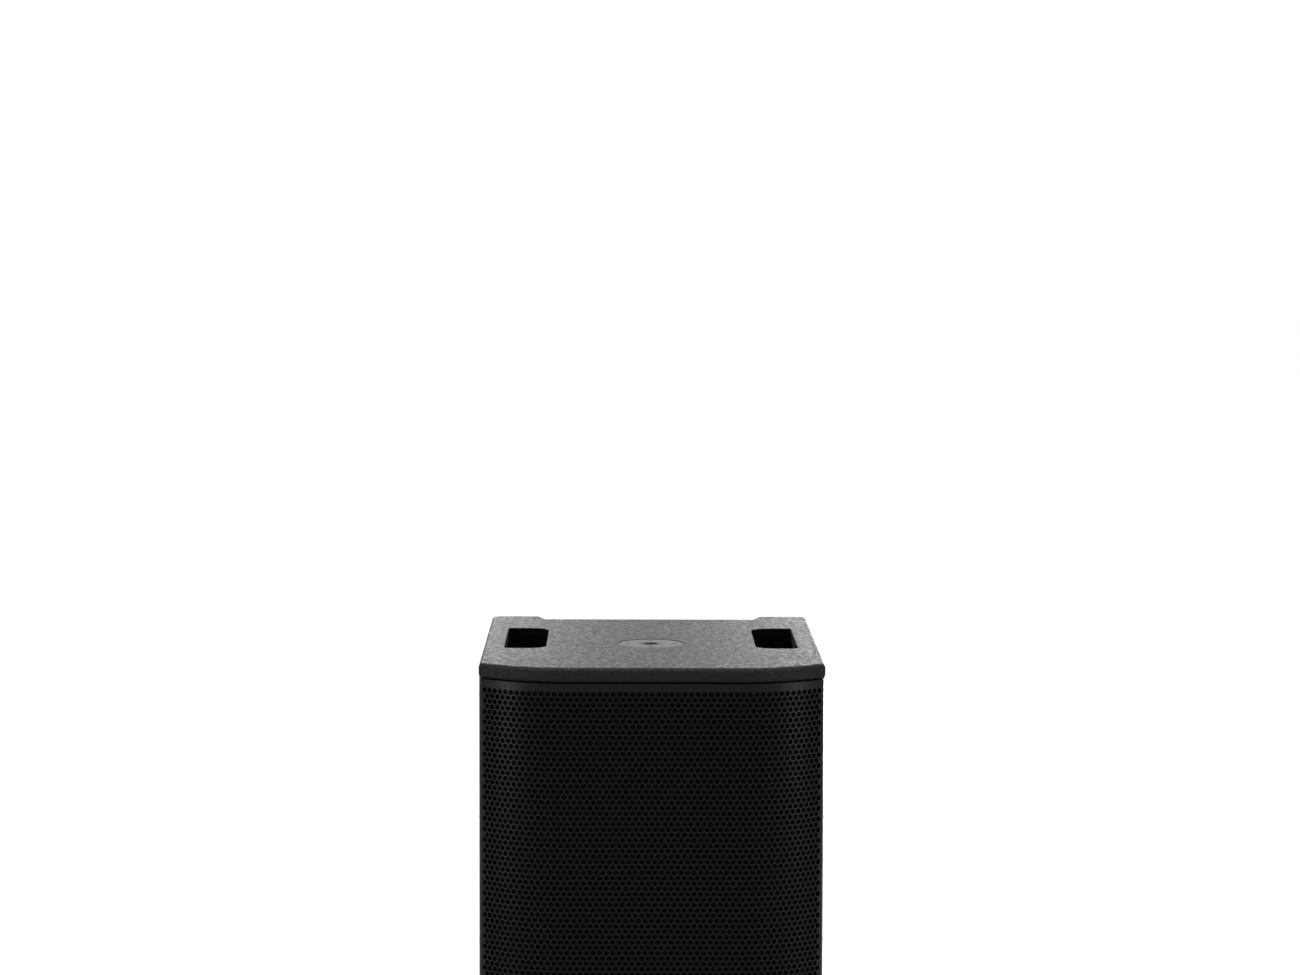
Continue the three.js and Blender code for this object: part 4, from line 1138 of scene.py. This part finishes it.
# %% Phase switch and lamps
x, y, z = phase
case_line = centred_box(7, 7, 1, 4)
switch_case = raised(plate([case_line, ring_of(0, 0, 4.3, 48)], 6.8, 0.4), -10)
switch_floor = raised(plate([case_line], 5, 0.4), -15)
piece("phase_switch_case", at_back(joined(switch_case, switch_floor), x, z), moulded,
      stands_for=["phase_switch"])
collar = softened([(4.4, 0.02), (6.6, 0.02), (6.2, 1.2), (4.6, 1.4)], 0.4)
piece("phase_switch_collar", at_back(lathe(collar, 64, closed=True), x, z), zinc)
button = [(3.9, -7), (3.9, 4.4), (3.75, 5), (3.3, 5.4), (2.6, 5.35), (1.2, 4.9), (0.4, 4.8)]
piece("phase_button_dished", at_back(lathe(button, 64), x, z), knob_grip, "phase_key", ["phase_button"])
for (x, y, z), node, lens in ((lamps[0], "power_lamp", green_lens), (lamps[1], "limit_lamp", red_lens)):
    dome = [(2.4, -5), (2.4, 0.2)] + [(2.4 * math.cos(a), 0.2 + 1.8 * math.sin(a))
                                      for a in [math.radians(d) for d in range(10, 86, 15)]]
    piece(node + "_lens", at_back(lathe(dome, 48), x, z), lens, stands_for=[node])
    bezel = softened([(2.75, 0.02), (4.0, 0.02), (3.8, 0.9), (2.9, 1.1)], 0.3)
    piece(node + "_bezel", at_back(lathe(bezel, 48, closed=True), x, z), screw_black)
print("lamps", len(lamps))

# %% [markdown]
# ## Signal sockets
# The inputs are three-pole sockets with a sprung release tab, and the outputs are the matching plugs'
# kind, with three pins in a deep cup. Both are a turned barrel behind a rectangular flange with a screw
# in two corners.

# %% Input sockets
CONTACTS = [(-3.7, 2), (3.7, 2), (0, -4.2)]


def flange():
    return plate([centred_box(13, 15.5, 3), ring_of(0, 0, 11.7)], 2, 0.35)


def at_contacts(solid):
    """A copy of a small solid at each of a socket's three contacts."""
    return joined(*[moved(solid, (a, b, 0)) for a, b in CONTACTS])


barrel = softened([(9.8, -18), (11.6, -18), (11.6, 4), (9.8, 4)], 0.5)
core = plate([ring_of(0, 0, 7.3), *[ring_of(a, b, 1.6, 20) for a, b in CONTACTS]], 13, 0.3)
floor_disc = lathe([(9.9, -18), (9.9, -12)], 48)
shell = joined(lathe(barrel, 64, closed=True), raised(core, -12), floor_disc, flange())
sleeves = at_contacts(lathe([(1.15, -9), (1.55, -9), (1.55, 0.6), (1.15, 0.6)], 20, closed=True))
tab = plate([rounded_box(-4.4, 12, 4.4, 14.7, 0.8, 5)], 2.6, 0.5)
for word, (x, y, z) in zip(("left", "right"), inputs):
    piece(f"input_socket_{word}_shell", at_back(shell, x, z), moulded, stands_for=[f"input_socket_{word}"])
    piece(f"input_contacts_{word}", at_back(sleeves, x, z), brass)
    piece(f"input_release_{word}", at_back(tab, x, z, 1.8), nickel, word + "_latch", [f"input_latch_{word}"])
print("contacts in each socket", len(CONTACTS))

# %% Output sockets
barrel = softened([(8.3, -18), (11.6, -18), (11.6, 4), (9.2, 4), (8.3, 3)], 0.5)
floor_disc = lathe([(8.5, -18), (8.5, -12)], 48)
key = raised(plate([rounded_box(-1.3, 6.6, 1.3, 8.6, 0.4, 3)], 14, 0.2), -12)
shell = joined(lathe(barrel, 64, closed=True), floor_disc, key, flange())
pins = at_contacts(lathe([(1.2, -13), (1.2, -0.4), (0.9, 0.2), (0.4, 0.5)], 24))
for word, (x, y, z) in zip(("left", "right"), outputs):
    piece(f"output_socket_{word}_shell", at_back(shell, x, z), moulded, stands_for=[f"output_socket_{word}"])
    piece(f"output_pins_{word}", at_back(pins, x, z), brass)
corners = [(x + side * 9.4, AMP_FACE + 1.9, z + side * 12)
           for x, y, z in inputs + outputs for side in (-1, 1)]
screws("socket_screws", corners, 1.9, 0.9, on_back)
print("screws on the sockets", len(corners))

# %% [markdown]
# ## Mains
# A three-blade inlet with a small fuse drawer under it brings in the mains, and a wide rocker beside it
# switches the speaker on. The inlet's mouth has two cut corners, so that a lead goes in one way only.

# %% Mains inlet and fuse drawer
MOUTH = [(-12, -3.5), (12, -3.5), (12, 9), (8, 13), (-8, 13), (-12, 9)]
SLOT = [(-12.5, -14.1), (12.5, -14.1), (12.5, -6.5), (-12.5, -6.5)]
mouth, slot = softened(MOUTH, 0.8), softened(SLOT, 0.4)
well_line = centred_box(14, 15, 0.8, 4)
cover = plate([centred_box(25, 17, 3), mouth, slot], 3, 0.5)
well = raised(plate([well_line, mouth, slot], 13.2, 0.1), -13.1)
slot_wall = raised(plate([well_line, slot], 5.2, 0.1), -18.1)
well_floor = raised(plate([well_line], 6, 0.3), -24)
x, y, z = mains
inlet = joined(cover, well, slot_wall, well_floor)
piece("mains_inlet_shell", at_back(inlet, x, z), moulded, stands_for=["mains_inlet"])
blade = plate([centred_box(1, 2, 0.3, 3)], 14, 0.3)
blades = [moved(blade, (a, b, -14)) for a, b in ((-7, 2.75), (7, 2.75), (0, 6.75))]
piece("mains_blades", at_back(joined(*blades), x, z), brass)
screws("mains_inlet_screws", [(x + side * 20, AMP_FACE + 2.9, z) for side in (-1, 1)], 3.1, 1.2, on_back)
tray_line = rounded_box(-12.2, -13.8, 12.2, -6.8, 0.5, 4)
tray_front = raised(plate([tray_line], 1.2, 0.35), 3)
tray_rim = raised(plate([tray_line, rounded_box(-10.5, -12.3, 10.5, -8.3, 0.4, 4)], 12, 0.2), -17)
tray_body = raised(plate([tray_line], 8, 0.2), -5)
grip = raised(plate([rounded_box(-4, -12.9, 4, -12.2, 0.3, 3)], 0.5, 0.1), 4.0)
tray = joined(tray_front, tray_body, tray_rim, grip)
piece("fuse_drawer_tray", at_back(tray, x, z), moulded, "drawer", ["fuse_drawer"])
print("blades", len(blades))

# %% [markdown]
# The rocker is one section, pushed along its axle: a shallow V outside and a rounded keel in the switch.
# It stands tilted, upper half out, which is off. A bar and a ring are printed on it, as on any switch.

# %% Power switch and rocker
TILT, PIVOT = math.radians(-9), -3.5
opening = centred_box(7.9, 11.5, 0.6, 4)
box_line = centred_box(9.5, 13.5, 1, 4)
bezel = plate([centred_box(11.5, 15.5, 2), opening], 2.5, 0.7)
box_wall = raised(plate([box_line, opening], 9.2, 0.1), -9.1)
box_floor = raised(plate([box_line], 13, 0.3), -22)
piece("power_switch_frame", at_back(joined(bezel, box_wall, box_floor), power[0], power[2]), moulded,
      stands_for=["power_switch"])
SECTION = [(9.6, 8.4), (5, 7.2), (0, 6.8), (-5, 7.2), (-9.6, 8.4), (-9.6, 2), (-3, -1.8), (3, -1.8),
           (9.6, 2)]


def tilted(solid):
    """Turns a solid drawn about the rocker's axle to its tilt, and puts the axle in its place."""
    c, s = math.cos(TILT), math.sin(TILT)
    middle, axle, height = power[0], AMP_FACE + PIVOT, power[2]
    return mapped(solid, lambda x, y, z: (middle + x, axle + y * c - z * s, height + y * s + z * c))


rocker_rings = []
for x, shrink in ((-7.5, 0.93), (-7.3, 0.98), (-6.9, 1), (6.9, 1), (7.3, 0.98), (7.5, 0.93)):
    rocker_rings.append([(x, 3 + (y - 3) * shrink, z * shrink) for z, y in softened(SECTION, 0.7)])
piece("power_rocker_shaped", tilted(loft(rocker_rings)), knob_grip, "rocker", ["power_rocker"])
bar = mapped(plate([rounded_box(-0.45, 4, 0.45, 7.6, 0.2, 3)], 0.12),
             lambda a, b, c: (a, 7.26 + (b - 5) * 0.25 + c, b))
ring_mark = mapped(plate([ring_of(0, -6, 1.9), ring_of(0, -6, 1.2)], 0.12),
                   lambda a, b, c: (a, 7.3 - (b + 5) * 0.25 + c, b))
piece("power_rocker_marks", tilted(joined(bar, ring_mark)), ink, "rocker")
print("rocker section points", len(rocker_rings[0]))

# %% [markdown]
# ## Inside
# A steel tub closes the amplifier off from the box's air, with the board, a toroidal transformer and a
# big smoothing capacitor in it. A lead runs from it to the woofer, and wadding lines the sides of the
# chamber. None of this shows from outside, but it is there when the speaker is opened.

# %% Amplifier tub, transformer and capacitor
eased("amp_enclosure", zinc, 1.0, segments=3)
x, y, z = centre_of("supply_transformer")
WINDINGS, MIDDLE_R = 46, 33


def squared(wave):
    """A sine wave with its peaks cut off, which turns a circle into a rounded square."""
    return max(-1, min(1, 1.25 * wave))


toroid = [(MIDDLE_R + 14.5 * squared(math.cos(a)), 18 * squared(math.sin(a))) for a in turns(24)]
toroid = softened(toroid, 2, 1)
rings = []
for a in turns(WINDINGS * 6):
    swell = 0.8 * abs(math.sin(WINDINGS * a / 2))
    ring = []
    for r, h in toroid:
        wide = r + swell * (1 if r > MIDDLE_R else -1)
        ring.append((wide * math.cos(a), wide * math.sin(a), h + swell * (1 if h > 0 else -1) * 0.8))
    rings.append(ring)
coil = loft(rings + rings[:1], capped=False)
piece("toroid_windings", mapped(coil, lambda a, b, c: (x + a, y + c, z + b)), copper,
      stands_for=["supply_transformer"])
washer = softened([(4, 19), (24, 19), (26, 18.6), (26, 19.6), (24, 19.9), (4, 19.9)], 0.2)
piece("toroid_washer", mapped(lathe(washer, 64, closed=True), lambda a, b, c: (x + a, y + c, z + b)), zinc)
x, y, z = centre_of("supply_capacitor")
can = [(6, -22.8), (16.5, -22.8), (17.5, -22.4), (17.5, 17), (16.6, 18), (16.6, 18.8), (17.5, 19.8),
       (17.5, 22.2), (16.8, 23), (15.6, 23), (15.2, 22.2), (6, 22.2)]
piece("capacitor_can", mapped(lathe(can, 64), lambda a, b, c: (x + a, y - c, z + b)), moulded,
      stands_for=["supply_capacitor"])
print("toroid windings", WINDINGS)

# %% [markdown]
# The circuit board is a thin green laminate. Blocky parts would look like a toy, so it carries turned
# cans, a ribbed heat spreader and small chips with legs, all made from the same few tools.

# %% Circuit board
board_low, board_high = box_of("amp_board")
BOARD_Y, LAMINATE = board_high[1], 1.6


def on_board(solid, x, z):
    """Puts a solid drawn flat on the inner face of the circuit board: its height points into the box."""
    return mapped(solid, lambda a, b, c: (x + a, BOARD_Y - LAMINATE - c, z + b))


board_plan = rounded_box(board_low[0], board_low[2], board_high[0], board_high[2], 2)
mounting = [ring_of(side * 90, z, 2, 20) for side in (-1, 1) for z in (board_low[2] + 6, board_high[2] - 6)]
sheet = plate([board_plan] + mounting, LAMINATE, 0.1)
piece("amplifier_board", mapped(sheet, lambda a, b, c: (a, BOARD_Y - LAMINATE + c, b)), laminate,
      stands_for=["amp_board"])
cans, chips, legs = [], [], []
CANS = [(-82, 480, 8, 25), (-62, 480, 8, 25), (-82, 462, 6, 18), (-66, 462, 6, 18), (-20, 480, 10, 17),
        (-70, 428, 7, 13.5), (-40, 428, 7, 13.5), (-70, 412, 7, 13.5), (-40, 412, 7, 13.5)]
for x, z, r, h in CANS:
    groove = [(r - 0.7, h - 3.4), (r - 0.7, h - 2.8)]
    profile = softened([(r, 0), (r, h - 4), *groove, (r, h - 2.2), (r, h), (0.5, h - 0.4)],
                       0.3, 2, open_ends=True)
    cans.append(on_board(lathe(profile, 40), x, z))
CHIPS = [(14, 486, 22, 8), (44, 486, 10, 8), (10, 440, 16, 10), (50, 430, 12, 12), (20, 400, 20, 8),
         (74, 440, 10, 16), (-10, 390, 14, 8), (60, 370, 18, 10), (-60, 370, 14, 8)]
leg = plate([centred_box(0.35, 1.2, 0.2, 2)], 1.4, 0.1)
for x, z, wide, tall in CHIPS:
    chip = plate([centred_box(wide / 2, tall / 2, 0.4, 3)], 2.4, 0.3)
    chips.append(on_board(raised(chip, 0.6), x, z))
    for k in range(int(wide / 2)):
        for side in (-1, 1):
            legs.append(on_board(moved(leg, (-wide / 2 + 1 + 2 * k, side * tall / 2, 0)), x, z))
piece("board_capacitors", joined(*cans), screw_black)
piece("board_chips", joined(*chips), moulded)
piece("board_legs", joined(*legs), nickel)
spreader = [(-11, 0), (11, 0), (11, 3)]
for k in range(5):
    left = 11 - k * 5.1
    spreader += [(left, 20), (left - 1.6, 20)] + ([(left - 1.6, 3), (left - 5.1, 3)] if k < 4 else [])
ribbed = upright(softened(spreader, 0.3, 2), -23, 23, 0.4)
ribbed = mapped(ribbed, lambda a, b, c: (74 + a, BOARD_Y - LAMINATE - b, 480 + c))
piece("board_heat_spreader", ribbed, anodised)
print("cans", len(cans), "chips", len(chips), "legs", len(legs))

# %% [markdown]
# The lead inside is two insulated wires twisted together. Its route is the frame's: out of the tub, down
# through the brace's lower window and up to the woofer's terminals. Two strands run round that route,
# half a turn apart.

# %% Speaker lead
tub_face = box_of("amp_enclosure")[0][1]
route = [(30, tub_face + 12, 215), (30, tub_face - 14, 214), (36, 100, 196), (42, 60, 182), (44, 17, 178),
         (38, -24, 184), (20, -62, 208), (2, -98, 231), (0, BAFFLE + 95, 232)]


def smooth(points, steps):
    """A soft curve through the points."""
    ends = [points[0]] + points + [points[-1]]
    made = []
    for p, q, r, s in zip(ends, ends[1:], ends[2:], ends[3:]):
        for k in range(steps):
            t = k / steps
            made.append(Vector([0.5 * (2 * b + (c - a) * t + (2 * a - 5 * b + 4 * c - d) * t ** 2
                                       + (3 * b - a - 3 * c + d) * t ** 3)
                                for a, b, c, d in zip(p, q, r, s)]))
    return made + [Vector(points[-1])]


path = smooth(route, 24)
LAY, OFFSET, STRAND = 18, 1.85, 1.8  # length of half a twist, and each strand's distance and radius
strands = []
for start in (0, math.pi):
    rings, travelled = [], 0
    for k, here in enumerate(path):
        ahead = (path[min(k + 1, len(path) - 1)] - path[max(k - 1, 0)]).normalized()
        side = ahead.cross(Vector((1, 0, 0))).normalized()
        up = ahead.cross(side)
        travelled += (here - path[k - 1]).length if k else 0
        a = start + travelled / LAY * math.pi
        heart = here + OFFSET * (side * math.cos(a) + up * math.sin(a))
        rings.append([tuple(heart + STRAND * (side * math.cos(b) + up * math.sin(b))) for b in turns(12)])
    strands.append(loft(rings))
piece("speaker_lead_twisted", joined(*strands), rubber, stands_for=["speaker_lead"], crease=60)
print("lead", round(travelled), "mm long")

# %% [markdown]
# The wadding is soft polyester. A slab would look like a board, so its inner face is pushed in and out by
# smooth noise, its edges are pulled thin, and it is pressed thin at rows of staple points.

# %% Wadding on the sides
STAPLES = [(a, b) for a in (0.3, 0.7) for b in (0.2, 0.5, 0.8)]


def wadding(side, node):
    """A soft sheet that fills its node's box: thick and wavy inside, thin at its rim and staples."""
    low, high = box_of(node)
    outer, inner = (high[0], low[0]) if side > 0 else (low[0], high[0])
    rows, columns = 60, 36
    points, faces = [], []
    for layer in (0, 1):
        for j in range(rows + 1):
            for i in range(columns + 1):
                u, v = i / columns, j / rows
                rim = min(u, 1 - u, v * rows / columns, (1 - v) * rows / columns)
                full = min(1, (rim / 0.09)) ** 0.5 if rim > 0 else 0
                y = low[1] + (high[1] - low[1]) * u
                z = low[2] + (high[2] - low[2]) * v
                staple = sum(math.exp(-((u - a) ** 2 * 90 + (v - b) ** 2 * 260)) for a, b in STAPLES)
                wave = 0.86 + 0.14 * noise.noise(Vector((y / 34, z / 34, 9 * side)))
                lift = wave * (1 - 0.6 * min(1, staple))
                x = outer + (inner - outer) * (0.5 + (0.49 * full * lift if layer else -0.45 * full))
                points.append((x, y, z))
    across = columns + 1
    sheet = (rows + 1) * across
    for j in range(rows):
        for i in range(columns):
            k = j * across + i
            faces.append([k, k + 1, k + across + 1, k + across])
            faces.append([sheet + k, sheet + k + across, sheet + k + across + 1, sheet + k + 1])
    return points, faces


for word, side in (("left", -1), ("right", 1)):
    node = "lining_" + word
    pad = piece("wadding_" + word, wadding(side, node), fleece, stands_for=[node], crease=90)
    print(pad.name, "faces", len(pad.data.polygons))

# %% [markdown]
# Every frame node should now have a piece that stands for it. We check that here, so that no plain solid
# shows.

# %% Look for nodes that nothing stands for
print("plain nodes left:", [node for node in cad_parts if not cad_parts[node].hide_render])

# %% [markdown]
# ## Floor
# The floor is a wide pale sheet. It glows a little for the camera alone, so it runs into the white
# surroundings without a horizon and still takes the speaker's soft shadow, and the glow doesn't light the
# speaker's dark front.

# %% Floor
floor_mesh = bpy.data.meshes.new("floor")
floor_mesh.from_pydata([(-30, -30, 0), (30, -30, 0), (30, 30, 0), (-30, 30, 0)], [], [(0, 1, 2, 3)])
floor_paint = finish("floor_paint", (0.44, 0.44, 0.44), (0.46, 0.46, 0.46), (0.8, 0.9),
                     grain=20, bump=0.02, specular=0.0)
tree = floor_paint.node_tree
shown = tree.nodes.new("ShaderNodeLightPath")
glow = tree.nodes.new("ShaderNodeMath")
glow.operation = "MULTIPLY"
glow.inputs[1].default_value = 0.76
tree.links.new(shown.outputs["Is Camera Ray"], glow.inputs[0])
tree.links.new(glow.outputs[0], tree.nodes["Principled BSDF"].inputs["Emission Strength"])
tree.nodes["Principled BSDF"].inputs["Emission Color"].default_value = (1, 1, 1, 1)
floor_mesh.materials.append(floor_paint)
floor = bpy.data.objects.new("floor", floor_mesh)
scene.collection.objects.link(floor)
print("floor laid")
